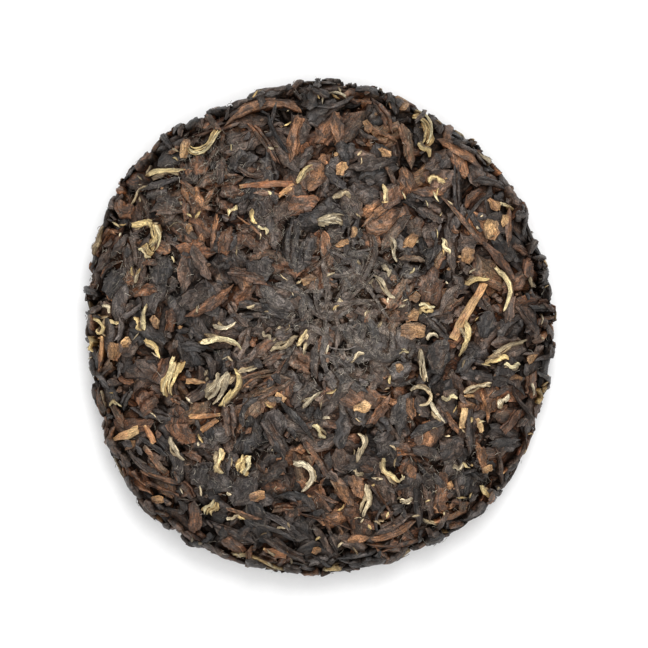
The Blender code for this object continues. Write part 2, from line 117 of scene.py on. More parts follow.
# A twig's row ends with how pale it is, from 0 to 1.
TWIGS = (
    (-11.5, 31.0, 12.0, 1.4, 4, 2, 2, 0.1), (-7.5, 29.5, 3.5, 1.2, 32, 32, 32, 0.6),
    (-27.0, -12.0, 4.5, 1.2, 177, 177, 177, 0.8), (-25.0, -19.5, 7.0, 1.1, 185, 184, 183, 0.55),
    (-24.0, -21.5, 4.5, 1.2, 215, 215, 215, 0.5), (31.5, -20.0, 4.5, 1.4, 82, 82, 82, 0.95),
    (35.0, -21.5, 3.5, 1.2, -69, -69, -69, 1.0), (-42.0, -23.5, 7.5, 1.9, 27, 27, 27, 0.95),
    (-37.0, -23.5, 4.5, 1.3, -60, -60, -60, 0.4), (-8.5, -15.5, 2.5, 1.3, -35, -35, -35, 0.7),
    (-9.5, -49.0, 5.5, 1.8, -14, -12, -10, 0.45), (32.5, 3.5, 14.0, 1.9, -122, -120, -116, 0.8),
)  # fmt: skip
STALKS = (
    (-0.5, -29.0, 10.0, 1.3, -58), (31.0, 23.5, 13.5, 1.1, -42, -50, -48),
    (-49.0, -18.5, 6.0, 1.3, -45, -50, -55), (26.0, -43.0, 7.5, 1.3, 52, 57, 60),
    (-36.0, -29.0, 7.5, 1.3, -50, -45, -40),
)  # fmt: skip
RUSSET_LEAVES = (
    (-5.5, 41.0, 11.0, 2.9, 256, 260, 268), (2.0, 43.0, 9.0, 4.4, 235, 232, 225),
    (4.0, 43.5, 7.5, 2.6, -70, -80, -95), (14.0, 26.0, 12.5, 2.0, 212, 220, 228),
    (23.5, 29.5, 7.5, 2.0, 5, 0, -15), (30.5, 38.0, 11.5, 2.6, -10, -22, -38),
    (24.5, 9.0, 8.5, 5.7, 80, 85, 95), (39.5, 14.5, 11.5, 2.0, -40, -48, -62),
    (-15.5, 11.0, 9.5, 2.2, -8, -18, -28), (-15.0, 18.5, 5.0, 2.6, -35, -30, -30),
    (-23.5, 5.0, 13.0, 2.4, 214, 212, 212), (-38.0, 8.0, 6.0, 2.6, 25, 10, -30),
    (-37.5, -16.0, 6.0, 5.3, 40), (-34.0, -9.5, 6.5, 3.1, 60, 65, 70),
    (-29.5, -23.5, 6.0, 4.2, -60, -50, -40), (-27.0, -41.5, 8.0, 2.9, -80, -84, -90),
    (29.0, -21.0, 6.0, 1.5, -55, -58, -60), (42.0, -20.5, 7.0, 2.6, 40, 45, 50),
    (47.0, -17.5, 4.5, 3.5, 50), (45.0, -24.0, 5.0, 2.0, -5, -10, -5),
    (13.5, -18.5, 8.5, 2.2, 225, 230, 235), (20.0, -18.0, 5.0, 2.0, -85, -82, -78),
    (14.0, -10.0, 4.5, 2.0, -35, -30, -20), (-20.5, 19.0, 7.0, 3.1, 80, 75, 70),
    (-19.0, 29.5, 5.5, 3.1, -10, -5, 0), (-39.5, 35.5, 5.0, 1.5, 70, 75, 80),
    (-12.5, 48.0, 20.0, 2.6, 35, 8, -40), (8.5, -35.0, 6.0, 3.1, -70, -75, -80),
    (6.0, -37.0, 5.5, 2.2, -60), (7.0, -40.5, 3.5, 2.6, -20), (10.5, -43.0, 4.0, 2.0, -25),
    (8.5, -46.0, 5.0, 2.0, 10, 0, -10), (35.5, -28.0, 7.0, 2.2, -82, -80, -75), (15.5, 28.5, 6.0, 4.4, 60),
    (-3.5, 27.0, 7.5, 4.0, 20, 10, 0), (-31.0, -16.0, 3.0, 1.8, -30), (20.0, -31.5, 3.0, 2.6, 80),
    (-32.5, 1.5, 5.5, 2.4, 85), (39.0, 34.5, 3.5, 1.8, -30), (41.0, 21.5, 9.0, 1.5, -92, -88, -85),
    (44.0, 16.5, 5.5, 2.0, -20, -25, -30), (48.0, -2.5, 6.0, 1.5, 5, 25, 55),
    (-27.5, -28.0, 5.0, 1.8, -25, -30, -35), (-25.5, 43.5, 4.0, 2.2, -78),
    (-29.0, 25.5, 5.5, 1.5, -86, -88, -90), (-34.5, 17.5, 5.0, 2.9, -35, -30, -30),
    (-37.0, 14.0, 4.0, 1.5, 0),
)  # fmt: skip
TAN_FLAKES = (
    (14.5, 38.0, 3.0, 2.2, -60), (5.0, 34.5, 3.0, 2.4, 80), (17.0, 48.0, 5.0, 4.2, 20),
    (38.0, 26.5, 3.5, 2.2, -50), (37.5, 21.0, 4.5, 3.5, 80), (40.0, 23.0, 2.5, 2.0, 40),
    (32.5, 15.5, 3.5, 2.9, 70), (20.0, 19.0, 3.5, 3.1, 0), (20.5, -1.0, 5.5, 3.5, -5),
    (20.5, 2.5, 3.5, 2.6, 10), (21.0, 6.5, 2.5, 2.2, 0), (-44.5, -5.5, 4.0, 3.1, 80),
    (-42.0, -3.5, 2.5, 2.0, 30), (-36.0, 1.0, 3.0, 2.0, 85), (-2.0, 10.0, 3.5, 2.4, 20),
    (9.5, -17.5, 4.0, 2.6, 0), (17.5, -9.0, 2.0, 1.8, 60), (36.5, -31.0, 2.5, 1.8, 10),
    (-35.0, -37.5, 3.0, 1.8, 10), (-13.5, -37.0, 3.5, 2.2, 10), (-2.5, -37.5, 2.0, 1.5, 10),
    (-0.5, -48.5, 2.0, 1.8, 60), (-29.0, 38.5, 4.5, 2.2, 75), (-28.5, 21.5, 2.0, 2.0, 45),
    (10.5, 43.5, 3.0, 1.8, -60),
)  # fmt: skip
UMBER_LEAVES = (
    (-11.5, 40.0, 13.5, 1.8, -50, -58, -62), (-24.0, 28.5, 4.5, 1.5, 60),
    (-28.5, 30.5, 5.0, 1.3, -35, -45, -60), (-45.5, 13.0, 7.0, 1.3, 60, 30, 5),
    (19.5, 39.5, 11.0, 2.6, -70, -80, -95), (13.5, 42.5, 8.5, 1.3, -28, -30, -25),
    (16.0, 32.5, 6.0, 1.3, -60, -65, -70), (16.5, 21.0, 10.0, 2.4, 215, 235, 250),
    (20.5, 15.0, 6.0, 1.3, 5, -5, -35), (-9.5, -6.5, 7.0, 2.0, 30, 35, 40), (-47.5, -8.0, 5.0, 2.0, -80),
    (-43.5, -19.5, 6.0, 2.0, -55, -55, -50), (-7.5, -39.5, 6.0, 1.8, 8, 5, 0), (17.0, 48.0, 6.5, 4.0, -25),
    (-16.5, -41.0, 8.5, 1.3, -10, -20, 5), (26.5, 15.0, 5.5, 1.8, 70, 60, 50),
)  # fmt: skip
PLUM_LEAVES = (
    (11.0, 35.5, 10.5, 3.1, -2, 3, 35), (-21.5, 34.0, 6.5, 2.0, 88), (-32.5, 25.0, 6.5, 1.5, 0),
    (7.0, 27.0, 7.5, 4.4, -60), (-27.0, 6.5, 8.0, 4.0, 35), (-23.5, -8.0, 7.0, 1.5, 10, -70, -92),
    (-25.5, -14.0, 8.0, 2.9, 35, 38, 40), (-19.5, -20.5, 9.5, 3.3, -85), (41.5, 5.0, 9.0, 2.4, 80, 85, 88),
    (45.0, 1.5, 8.0, 1.5, -48, -52, -50), (28.0, -17.5, 5.5, 3.1, -45),
    (23.5, -27.5, 7.0, 2.6, -12, -15, -15), (1.0, -46.5, 9.0, 1.5, -50, -60, -62),
    (24.0, -38.0, 9.0, 1.8, -75, -80, -85), (-26.0, 14.0, 9.0, 2.6, -70, -60, -60),
    (-29.5, 11.5, 8.0, 2.6, -80, -85, -85),
)  # fmt: skip
DARK_LEAVES = (
    (-11.5, 51.5, 6.5, 4.4, 30), (6.0, 38.5, 5.5, 4.0, -80), (-10.0, -30.0, 7.0, 6.2, 40),
    (-9.5, -24.5, 10.0, 3.1, -50, -60, -70), (-26.0, -32.5, 5.7, 4.8, 70), (-16.5, -36.0, 8.0, 5.5, 60),
    (36.5, 0.5, 6.2, 4.0, 70), (26.0, -6.0, 7.5, 3.7, 78, 75, 70), (22.5, -17.5, 5.5, 3.1, -65, -60, -55),
    (17.5, -19.0, 10.5, 3.5, 80, 75, 70), (29.0, -26.5, 6.6, 5.3, 30), (-7.5, -1.5, 4.5, 3.7, 30),
    (-1.0, -7.0, 9.0, 2.0, 88, 86, 84), (-12.5, 13.0, 6.2, 5.3, -50), (-27.0, -4.5, 7.0, 2.2, -5, -5, 0),
    (-44.5, 10.0, 7.9, 4.8, 50), (47.5, 28.0, 9.5, 2.0, -55, -62, -70),
    (33.0, -23.0, 11.0, 2.2, -80, -88, -95), (-16.5, 47.0, 7.5, 2.0, 40, 20, 5), (-35.0, 30.0, 5.7, 4.4, 0),
    (-3.0, 17.0, 7.5, 3.5, 70), (24.5, -21.5, 11.0, 2.0, 30, 20, 10), (-3.0, 37.0, 6.0, 2.0, 50, 55, 60),
    (-34.5, 31.0, 10.0, 1.5, 0, 12, 25), (-33.5, 27.0, 7.5, 3.5, 10, 5, 0),
    (-45.5, 24.5, 13.0, 2.0, 90, 80, 60), (-43.5, 17.5, 6.5, 1.8, 55, 50, 45),
    (-6.0, 19.0, 13.0, 3.5, 88, 85, 82), (25.0, 25.0, 7.5, 4.0, -30),
    (30.0, 29.5, 12.0, 2.0, -100, -88, -80), (28.5, 17.0, 11.0, 1.8, -85, -80, -70),
    (-36.0, -19.0, 11.0, 2.9, -45, -8, -25), (-24.0, -23.0, 5.5, 2.0, -80),
    (-13.5, 2.5, 8.0, 1.5, 5, -5, -5), (-42.0, -15.5, 6.0, 1.8, 70, 60, 50),
    (26.5, -0.5, 8.0, 2.2, -50, -48, -45), (32.5, -7.5, 7.5, 2.6, 50), (5.0, -23.0, 8.0, 3.1, 80),
    (40.5, -25.0, 8.0, 2.0, 5, 0, -5), (-7.5, -43.0, 10.5, 1.8, -15, -35, -25),
    (21.5, -39.5, 10.0, 1.8, -80, -85, -88), (8.0, -30.0, 7.5, 1.8, 20, 28, 35),
    (5.5, -52.5, 13.0, 2.2, 0, 2, 5),
)  # fmt: skip
# Leaf ends that stand out of the outline or close a gap in it: x, y, length, width, height and kind.
RIM_ENDS = (
    (-23.0, 49.0, 4.5, 2.4, 2.2, "jet_leaves"), (-17.0, 50.0, 5.0, 2.4, 2.0, "charcoal_leaves"),
    (-14.0, 51.5, 4.0, 2.0, 2.2, "jet_leaves"), (-8.0, 54.0, 4.5, 2.2, 2.0, "charcoal_leaves"),
    (-28.5, 46.0, 4.0, 2.4, 1.8, "jet_leaves"), (-39.5, 37.5, 5.5, 3.0, 2.2, "umber_leaves"),
    (-50.0, 19.5, 6.5, 2.2, 1.8, "silver_buds"), (-51.0, 1.0, 4.0, 2.0, 1.6, "umber_leaves"),
    (-50.5, -4.0, 3.5, 2.2, 1.8, "golden_buds"), (-50.0, -9.0, 4.0, 2.4, 2.0, "jet_leaves"),
    (-51.0, -17.0, 6.0, 2.0, 1.6, "umber_leaves"), (-46.5, -27.5, 5.0, 2.6, 1.6, "charcoal_leaves"),
    (-40.0, -34.5, 6.0, 3.0, 2.0, "jet_leaves"), (-36.0, -38.5, 4.0, 2.4, 2.0, "charcoal_leaves"),
    (-14.0, -52.0, 5.0, 3.0, 1.8, "jet_leaves"), (-6.0, -53.5, 4.0, 2.6, 2.0, "charcoal_leaves"),
    (3.0, -54.0, 3.5, 2.0, 2.0, "golden_buds"), (9.0, -53.5, 5.0, 2.6, 1.8, "jet_leaves"),
    (25.0, -45.5, 4.0, 2.4, 2.0, "jet_leaves"), (33.0, -39.5, 6.5, 2.2, 3.2, "jet_leaves"),
    (41.0, -29.0, 4.0, 2.2, 1.8, "charcoal_leaves"), (47.5, -15.0, 3.5, 2.0, 1.6, "golden_buds"),
    (11.0, 53.0, 6.0, 2.4, 1.8, "slate_leaves"), (37.0, 38.0, 4.0, 1.8, 1.4, "silver_buds"),
    (42.5, 28.5, 5.5, 2.8, 1.6, "charcoal_leaves"), (12.0, -51.5, 5.5, 2.8, 1.6, "jet_leaves"),
)  # fmt: skip

# Where the browner leaves gather on the top, as x, y and spread in millimetres.
RUDDY_PATCHES = (
    (-5.0, 40.0, 9.0), (22.0, 26.0, 8.0), (42.0, -22.0, 8.0), (-17.0, 8.0, 6.0), (28.0, 8.0, 6.0),
    (-35.0, -14.0, 6.0), (10.0, -40.0, 7.0), (15.0, -16.0, 6.0), (-26.0, 24.0, 6.0),
)  # fmt: skip
# Where the down lies thickest on the top, as x, y and spread in millimetres.
DOWN_PATCHES = (
    (-31.5, 28.0, 5.0), (-24.0, 36.0, 4.0), (-2.0, 2.0, 7.0), (9.0, -4.0, 6.0), (-13.0, 25.0, 6.0),
    (-20.0, -28.0, 6.0), (15.0, 10.0, 6.0), (28.0, -34.0, 6.0), (-38.0, 12.0, 5.0), (5.0, 20.0, 6.0),
)  # fmt: skip

SHADES = ("dark", "middle", "pale")
# Display colours of each kind of piece, one for each shade.
COLOURS = {
    "charcoal_leaves": ((42, 34, 30), (67, 56, 49), (102, 87, 77)),
    "slate_leaves": ((40, 35, 33), (61, 54, 51), (93, 84, 79)),
    "jet_leaves": ((27, 23, 21), (39, 34, 32), (58, 51, 47)),
    "umber_leaves": ((52, 38, 26), (82, 61, 43), (116, 91, 65)),
    "plum_leaves": ((52, 39, 30), (80, 60, 47), (112, 86, 69)),
    "russet_leaves": ((82, 52, 30), (121, 80, 51), (153, 109, 73)),
    "tan_flakes": ((134, 98, 62), (164, 124, 82), (196, 156, 108)),
    "golden_buds": ((200, 169, 110), (230, 202, 140), (244, 228, 180)),
    "silver_buds": ((150, 129, 96), (206, 185, 146), (240, 223, 188)),
    "twigs": ((120, 78, 50), (174, 124, 80), (218, 181, 128)),
    "crumbs": ((50, 37, 28), (86, 62, 44), (130, 96, 68)),
    "down_hairs": ((116, 107, 95), (152, 143, 128), (196, 187, 170)),
}
CUT_WOOD = (228, 184, 126)  # display colour of a twig's cut ends


def linear(red, green, blue):
    """Scene colour of a display colour given from 0 to 255."""
    shares = (red / 255, green / 255, blue / 255)
    return tuple(c / 12.92 if c <= 0.04 else ((c + 0.055) / 1.055) ** 2.4 for c in shares)


# ----------------------------------------------------------
# Settings that a user would change
# ----------------------------------------------------------

LEAVES_PAST_GIRTH = 3.3 * MM  # how far the leaves reach past the pressed body at its girth
LEAVES_OVER_CROWN = 1.5 * MM


def length_setting(name, description, default):
    return FloatProperty(
        name=name, description=description, default=default, unit="LENGTH", subtype="DISTANCE"
    )


def count_setting(name, description, default):
    return IntProperty(name=name, description=description, default=default, min=0)


def colour_setting(name, description, default):
    return FloatVectorProperty(
        name=name, description=description, default=default, subtype="COLOR", size=3, min=0.0, max=1.0
    )


class CakeBodySettings(bpy.types.PropertyGroup):
    """Sizes of the pressed body that the leaves lie along."""

    radius: length_setting(
        "Radius",
        "Mean radius of the pressed body at its girth",
        (HIGHEST[1] - LOWEST[1]) / 2 - LEAVES_PAST_GIRTH,
    )
    crown_height: length_setting(
        "Crown height", "Height of the middle of the top", HIGHEST[2] - LEAVES_OVER_CROWN
    )
    girth_height: length_setting("Girth height", "Height of the widest girth above the table", 6.6 * MM)
    underside_height: length_setting(
        "Underside height",
        "Height of the body's own underside, which the lowest leaves fill down to the table",
        0.9 * MM,
    )
    core_depth: length_setting(
        "Core depth",
        "How far under the body's surface the dark core lies, where the first leaves start",
        1.3 * MM,
    )
    press_middle: length_setting(
        "Press of the middle",
        "Height over the core that the pressed heap can't pass in the flat middle of the top",
        2.6 * MM,
    )
    press_top: length_setting(
        "Press of the top", "Height over the core that the heap can't pass on the rest of the top", 3.2 * MM
    )
    press_flank: length_setting(
        "Press of the flank", "Height over the core that the heap can't pass round the rim", 4.6 * MM
    )
    press_underside: length_setting(
        "Press of the underside", "Height over the core that the heap can't pass underneath", 2.15 * MM
    )


class LeafHeapSettings(bpy.types.PropertyGroup):
    """How many pieces fill the cake between those listed."""

    bed_leaves: count_setting("Bed leaves", "Broad leaves of the first layer", 600)
    filling_leaves: count_setting("Filling leaves", "Narrow leaves between bed and top", 700)
    broad_leaves: count_setting("Broad leaves", "Broad flat leaves of the top layer", 1150)
    narrow_leaves: count_setting("Narrow leaves", "Folded and twisted leaves in the gaps", 480)
    chips: count_setting("Chips", "Small broken bits of leaf in the low places", 450)
    crushed_chips: count_setting("Crushed chips", "Crushed bits in the middle of the top", 60)
    stray_buds: count_setting("Stray buds", "Buds, and as many brown leaves, on flank and underside", 110)
    stray_twigs: count_setting("Stray twigs", "Twigs dealt over the flank and underside", 16)
    crumbs: count_setting("Crumbs", "Broken crumbs lodged between the leaves", 300)
    rim_lumps: count_setting("Rim lumps", "Thick curled leaf ends round the flank", 150)
    bud_bits: count_setting("Bud bits", "Tiny pale broken bits of bud", 300)
    hairs: count_setting("Hairs", "Fine pale hairs of down on the leaves", 4000)
    seed: count_setting("Seed", "Seed of every random draw", 41)


class LeafColourSettings(bpy.types.PropertyGroup):
    """The dark, middle and pale colour of each kind of piece."""

    __annotations__ = {
        f"{kind}_{shade}": colour_setting(
            f"{shade} {kind}".replace("_", " ").capitalize(),
            f"The {shade} colour of the {kind}".replace("_", " "),
            linear(*colours[at]),
        )
        for kind, colours in COLOURS.items()
        for at, shade in enumerate(SHADES)
    }


class StudioSettings(bpy.types.PropertyGroup):
    """The camera over the cake and the light tent around it."""

    camera_height: length_setting("Camera height", "Height of the lens over the girth", 0.6)
    pixel: length_setting("Pixel", "Width of one of the photograph's pixels at the girth", 0.22 * MM)
    key_power: FloatProperty(
        name="Key light", description="Power of the large light beyond the cake", default=11.4, unit="POWER"
    )
    fill_power: FloatProperty(
        name="Fill light", description="Power of the light over the camera", default=2.9, unit="POWER"
    )
    sky: FloatProperty(name="Sky", description="Strength of the white tent all round", default=0.70)
    tent: colour_setting("Tent", "Colour of the white tent all round", (1.0, 1.0, 1.0))


# ----------------------------------------------------------
# The pressed surface
# ----------------------------------------------------------

PROFILE_STEPS = 600
FINE_PROFILE_STEPS = 4000
CROWN_SQUARENESS = 3.0
UNDERSIDE_SQUARENESS = 11.0
TABLE_CELL = 0.4 * MM
TABLE_MARGIN = 6 * MM  # how far from the body the table of nearest steps reaches
TABLE_DEPTH = 4 * MM  # and how far under it
MIDDLE_SHARE = 0.2  # share of the radius that is the pressed middle, which ends softly over the next share
MIDDLE_FADE = 0.5
UNDERSIDE_TURN = 1.6  # how soon round the lower edge the underside's press begins


def girth_scale(theta):
    """How much wider or narrower than the mean the cake is towards each angle, along a smooth curve."""
    reach = np.array(RIM_REACH)
    at = np.asarray(theta) / math.tau * len(reach)
    first = np.floor(at).astype(int)
    u = at - first
    before, here, after, beyond = (reach[(first + k) % len(reach)] for k in (-1, 0, 1, 2))
    bend = 2 * before - 5 * here + 4 * after - beyond + u * (3 * (here - after) + beyond - before)
    return (here + 0.5 * u * (after - before + u * bend)) / reach.mean()


class PressedSurface:
    """The soft-shouldered disc that the leaves lie along, as a turned profile with a wandering girth."""

    def __init__(self, body):
        self.body = body
        turn = np.linspace(0.0, math.pi / 2, FINE_PROFILE_STEPS)
        crown = body.crown_height - body.girth_height
        belly = body.girth_height - body.underside_height
        top_r = body.radius * np.sin(turn) ** (2.0 / CROWN_SQUARENESS)
        under_r = body.radius * np.sin(turn[::-1]) ** (2.0 / UNDERSIDE_SQUARENESS)
        r = np.concatenate([top_r, under_r[1:]])
        z = np.concatenate([crown * np.cos(turn), -belly * np.cos(turn[::-1])[1:]]) + body.girth_height
        walked = np.concatenate([[0.0], np.cumsum(np.hypot(np.diff(r), np.diff(z)))])
        even = np.linspace(0.0, walked[-1], PROFILE_STEPS)
        self.r, self.z = np.interp(even, walked, r), np.interp(even, walked, z)
        dr, dz = np.gradient(self.r), np.gradient(self.z)
        length = np.hypot(dr, dz)
        self.normal_r, self.normal_z = -dz / length, dr / length
        area = np.cumsum(self.r)
        self.area_share = area / area[-1]
        self.girth_step = int(np.argmax(self.r))
        self.table = self.nearest_table()

    def nearest_table(self):
        """The profile's nearest step for a grid of places in its half plane."""
        self.table_z = self.z.min() - TABLE_DEPTH
        columns = int((self.r.max() + TABLE_MARGIN) / TABLE_CELL) + 2
        rows = int((self.z.max() + TABLE_MARGIN - self.table_z) / TABLE_CELL) + 2
        r = (np.arange(columns) * TABLE_CELL)[:, None, None]
        z = (self.table_z + np.arange(rows) * TABLE_CELL)[None, :, None]
        return np.hypot(r - self.r, z - self.z).argmin(axis=2).astype(float)

    def at(self, step, theta, height=0.0):
        """The points, and their outward normals, at a height over the profile's (fractional) steps."""
        at = np.arange(PROFILE_STEPS)
        r, z = np.interp(step, at, self.r), np.interp(step, at, self.z)
        normal_r, normal_z = np.interp(step, at, self.normal_r), np.interp(step, at, self.normal_z)
        out = r * girth_scale(theta) + normal_r * height
        points = np.stack([out * np.cos(theta), out * np.sin(theta), z + normal_z * height], -1)
        normals = np.stack([normal_r * np.cos(theta), normal_r * np.sin(theta), normal_z], -1)
        return points, normals

    def nearest(self, points):
        """The profile step and the angle of the surface nearest to each point."""
        theta = np.arctan2(points[..., 1], points[..., 0])
        r = np.hypot(points[..., 0], points[..., 1]) / girth_scale(theta)
        column = np.clip(r / TABLE_CELL, 0, self.table.shape[0] - 1.001)
        row = np.clip((points[..., 2] - self.table_z) / TABLE_CELL, 0, self.table.shape[1] - 1.001)
        i, j = column.astype(int), row.astype(int)
        u, v = column - i, row - j
        low = self.table[i, j] * (1 - u) + self.table[i + 1, j] * u
        high = self.table[i, j + 1] * (1 - u) + self.table[i + 1, j + 1] * u
        return low * (1 - v) + high * v, theta

    def under_pixel(self, x, y, camera_height):
        """The step and angle of the top that the camera sees at x, y, measured at the girth's distance."""
        theta = math.atan2(y, x)
        seen = math.hypot(x, y) / float(girth_scale(theta))
        steps = np.arange(self.girth_step + 1)
        shown = self.r[steps] * camera_height / (camera_height - (self.z[steps] - self.body.girth_height))
        steepest = int(np.argmax(shown))
        return float(np.interp(seen, shown[: steepest + 1], steps[: steepest + 1])), theta

    def press(self, step):
        """Height over the core that the heap can't pass at each step."""
        at, body = np.arange(PROFILE_STEPS), self.body
        up = np.interp(step, at, self.normal_z)
        outward = np.clip((np.interp(step, at, self.r) / body.radius - MIDDLE_SHARE) / MIDDLE_FADE, 0, 1)
        flat = body.press_middle + (body.press_top - body.press_middle) * outward
        top = body.press_flank + (flat - body.press_flank) * np.clip(up, 0, 1) ** 2
        turned = np.clip(-up * UNDERSIDE_TURN, 0, 1)
        under = body.press_flank + (body.press_underside - body.press_flank) * turned
        return np.where(up > 0, top, under)


def surface_directions(normal):
    """Two directions in the surface, the first as near to +X as it can be."""
    along = np.array([1.0, 0.0, 0.0]) - normal * normal[0]
    if np.linalg.norm(along) < 0.2:
        along = np.array([0.0, 0.0, 1.0]) - normal * normal[2]
    along /= np.linalg.norm(along)
    return along, np.cross(normal, along)


# ----------------------------------------------------------
# The heap: where each piece lies, and on what
# ----------------------------------------------------------

Piece = namedtuple("Piece", "kind form place size headings tint curl")
SPOTS = 60000  # spots of the surface that remember how high the heap stands there
STATIONS = 21  # points of a piece's centreline
# A piece's resting heights are noted at these shares of its length and these lanes across it,
# each over the spots that lie within its own reach.
STOPS = np.linspace(0.0, 1.0, 6)
LANES = (-0.75, 0.0, 0.75)
STOP_REACH = 0.16
LANE_REACH = 0.7
RIDING = 3500.0  # per metre: a listed piece rides on the highest points under it
SINKING = 500.0  # per metre: the filling sinks in among the leaves under it
UNEVEN_COST = 0.7  # how much an uneven bed counts against a place, next to a high one
HIDING_COST = 4 * MM  # and how much it counts to hide a listed piece, past a small share
HIDING_ALLOWED = 0.04
ENVELOPE_REACH = 1.3 * MM
ROOT = 0.4  # how far a piece reaches down into the leaves under it, as a share of its thickness
FLANK_ROOT = 2.6  # how much further it does so round the rim, where a gap under it would show the table


def walk(length, headings):
    """A centreline about its own middle: its points, and its heading at each."""
    first, middle, last = headings
    share = np.linspace(0.0, 1.0, STATIONS)
    turn = first * (1 - share) * (1 - 2 * share) + middle * 4 * share * (1 - share)
    heading = np.radians(turn + last * share * (2 * share - 1))
    between = (heading[1:] + heading[:-1]) / 2
    steps = np.stack([np.cos(between), np.sin(between)], -1) * length / (STATIONS - 1)
    path = np.concatenate([[[0.0, 0.0]], np.cumsum(steps, axis=0)])
    return path - path[STATIONS // 2], heading


class Heap:
    """Remembers how high the pieces laid so far reach over every spot, and lays each new one on them."""

    def __init__(self, surface):
        self.surface = surface
        index = np.arange(SPOTS)
        step = np.interp((index + 0.5) / SPOTS, surface.area_share, np.arange(PROFILE_STEPS))
        self.places = np.stack([step, index * GOLDEN_ANGLE], -1)
        self.spots, self.normals = surface.at(step, index * GOLDEN_ANGLE)
        self.reach = np.zeros(SPOTS)
        self.kept = np.zeros(SPOTS, bool)
        self.tree = KDTree(SPOTS)
        for i, spot in enumerate(self.spots):
            self.tree.insert(spot, i)
        self.tree.balance()
        self.laid = []

    def footprint(self, place, size, headings):
        """The spots under a piece, with the share along it and the lane across it of each."""
        length, width, _ = size
        centre, normal = self.surface.at(*place)
        along, across = surface_directions(normal)
        found = self.tree.find_range(Vector(centre), (length + width) / 2)
        index = np.array([i for _, i, _ in found] or [self.tree.find(Vector(centre))[1]])
        offset = self.spots[index] - centre
        plan = np.stack([offset @ along, offset @ across], -1)
        path, heading = walk(length, headings)
        gap = plan[:, None, :] - path
        nearest = (gap**2).sum(-1).argmin(axis=1)
        gap = gap[np.arange(len(index)), nearest]
        turn = heading[nearest]
        lane = (gap[:, 1] * np.cos(turn) - gap[:, 0] * np.sin(turn)) / (width / 2)
        share = nearest / (STATIONS - 1) + (gap[:, 0] * np.cos(turn) + gap[:, 1] * np.sin(turn)) / length
        inside = (np.abs(lane) < 1.05) & (share > -0.03) & (share < 1.03)
        if not inside.any():
            inside = (gap**2).sum(-1) <= (gap**2).sum(-1).min()
        return index[inside], share[inside], lane[inside]

    def settle(self, size, choices):
        """Of several places and headings, the one where the heap lies lowest, clear of the kept pieces."""
        best = None
        for place, headings in choices:
            index, share, lane = self.footprint(place, size, headings)
            covered = self.kept[index].mean()
            under = self.reach[index]
            hiding = HIDING_COST * max(0.0, covered - HIDING_ALLOWED)
            score = under.mean() + UNEVEN_COST * under.std() + hiding
            if best is None or score < best[0]:
                best = (score, covered, place, headings, (index, share, lane))
        return best[1:]

    def lay(self, piece, footprint=None, keep=False, stiffness=SINKING):
        """Puts a piece on what lies under it, and notes its resting heights at a few stops and lanes."""
        index, share, lane = footprint or self.footprint(piece.place, piece.size, piece.headings)
        thick = piece.size[2]
        push = np.exp(stiffness * self.reach[index])
        rest = np.zeros((len(STOPS), len(LANES)))
        for a, stop in enumerate(STOPS):
            for b, at_lane in enumerate(LANES):
                apart = ((share - stop) / STOP_REACH) ** 2 + ((lane - at_lane) / LANE_REACH) ** 2
                weight = np.exp(-apart) + 1e-6
                rest[a, b] = math.log((weight * push).sum() / weight.sum()) / stiffness
        rest[1:-1] = 0.25 * rest[:-2] + 0.5 * rest[1:-1] + 0.25 * rest[2:]
        dome = np.clip(1 - lane**6, 0, 1) * np.clip(8 * share * (1 - share) + 0.2, 0, 1)
        top = resting_height(rest[None], np.zeros(len(lane), int), share, lane) + thick * dome
        self.reach[index] = np.maximum(self.reach[index], top)
        if keep:
            self.kept[index] = True
        self.laid.append((piece, rest))

    def envelope(self):
        """The mean height of the finished heap around each spot."""
        around = np.zeros(SPOTS)
        for i, spot in enumerate(self.spots):
            near = [j for _, j, _ in self.tree.find_range(spot, ENVELOPE_REACH)]
            around[i] = self.reach[near].mean()
        return around


def resting_height(rests, which, share, lane):
    """The resting height of piece number which, a share of its way along and a lane across."""
    a = np.clip(share, 0, 1) * (len(STOPS) - 1)
    b = (np.clip(lane, LANES[0], LANES[-1]) - LANES[0]) / (LANES[1] - LANES[0])
    i, j = np.minimum(a.astype(int), len(STOPS) - 2), np.minimum(b.astype(int), len(LANES) - 2)
    u, v = a - i, b - j
    near = rests[which, i, j] * (1 - u) + rests[which, i + 1, j] * u
    far = rests[which, i, j + 1] * (1 - u) + rests[which, i + 1, j + 1] * u
    return near * (1 - v) + far * v


# ----------------------------------------------------------
# Forms: one of each shape, modelled in a box one unit long, wide and high
# ----------------------------------------------------------

Form = namedtuple("Form", "points faces grain")
UNDERSIDE = ((-0.4, 0.0), (0.0, 0.0), (0.4, 0.0))


def deselect_all():
    bpy.ops.object.select_all(action="DESELECT")


def select_vertices(obj, chosen):
    """Selects the numbered vertices of the object in edit mode."""
    bm = bmesh.from_edit_mesh(obj.data)
    bm.select_mode = {"VERT"}
    for vert in bm.verts:
        vert.select = vert.index in chosen
    bm.select_flush_mode()
    bmesh.update_edit_mesh(obj.data)


def finish_modifiers(obj):
    """Applies every modifier of an object, in order."""
    bpy.context.view_layer.objects.active = obj
    for modifier in list(obj.modifiers):
        bpy.ops.object.modifier_apply(modifier=modifier.name)


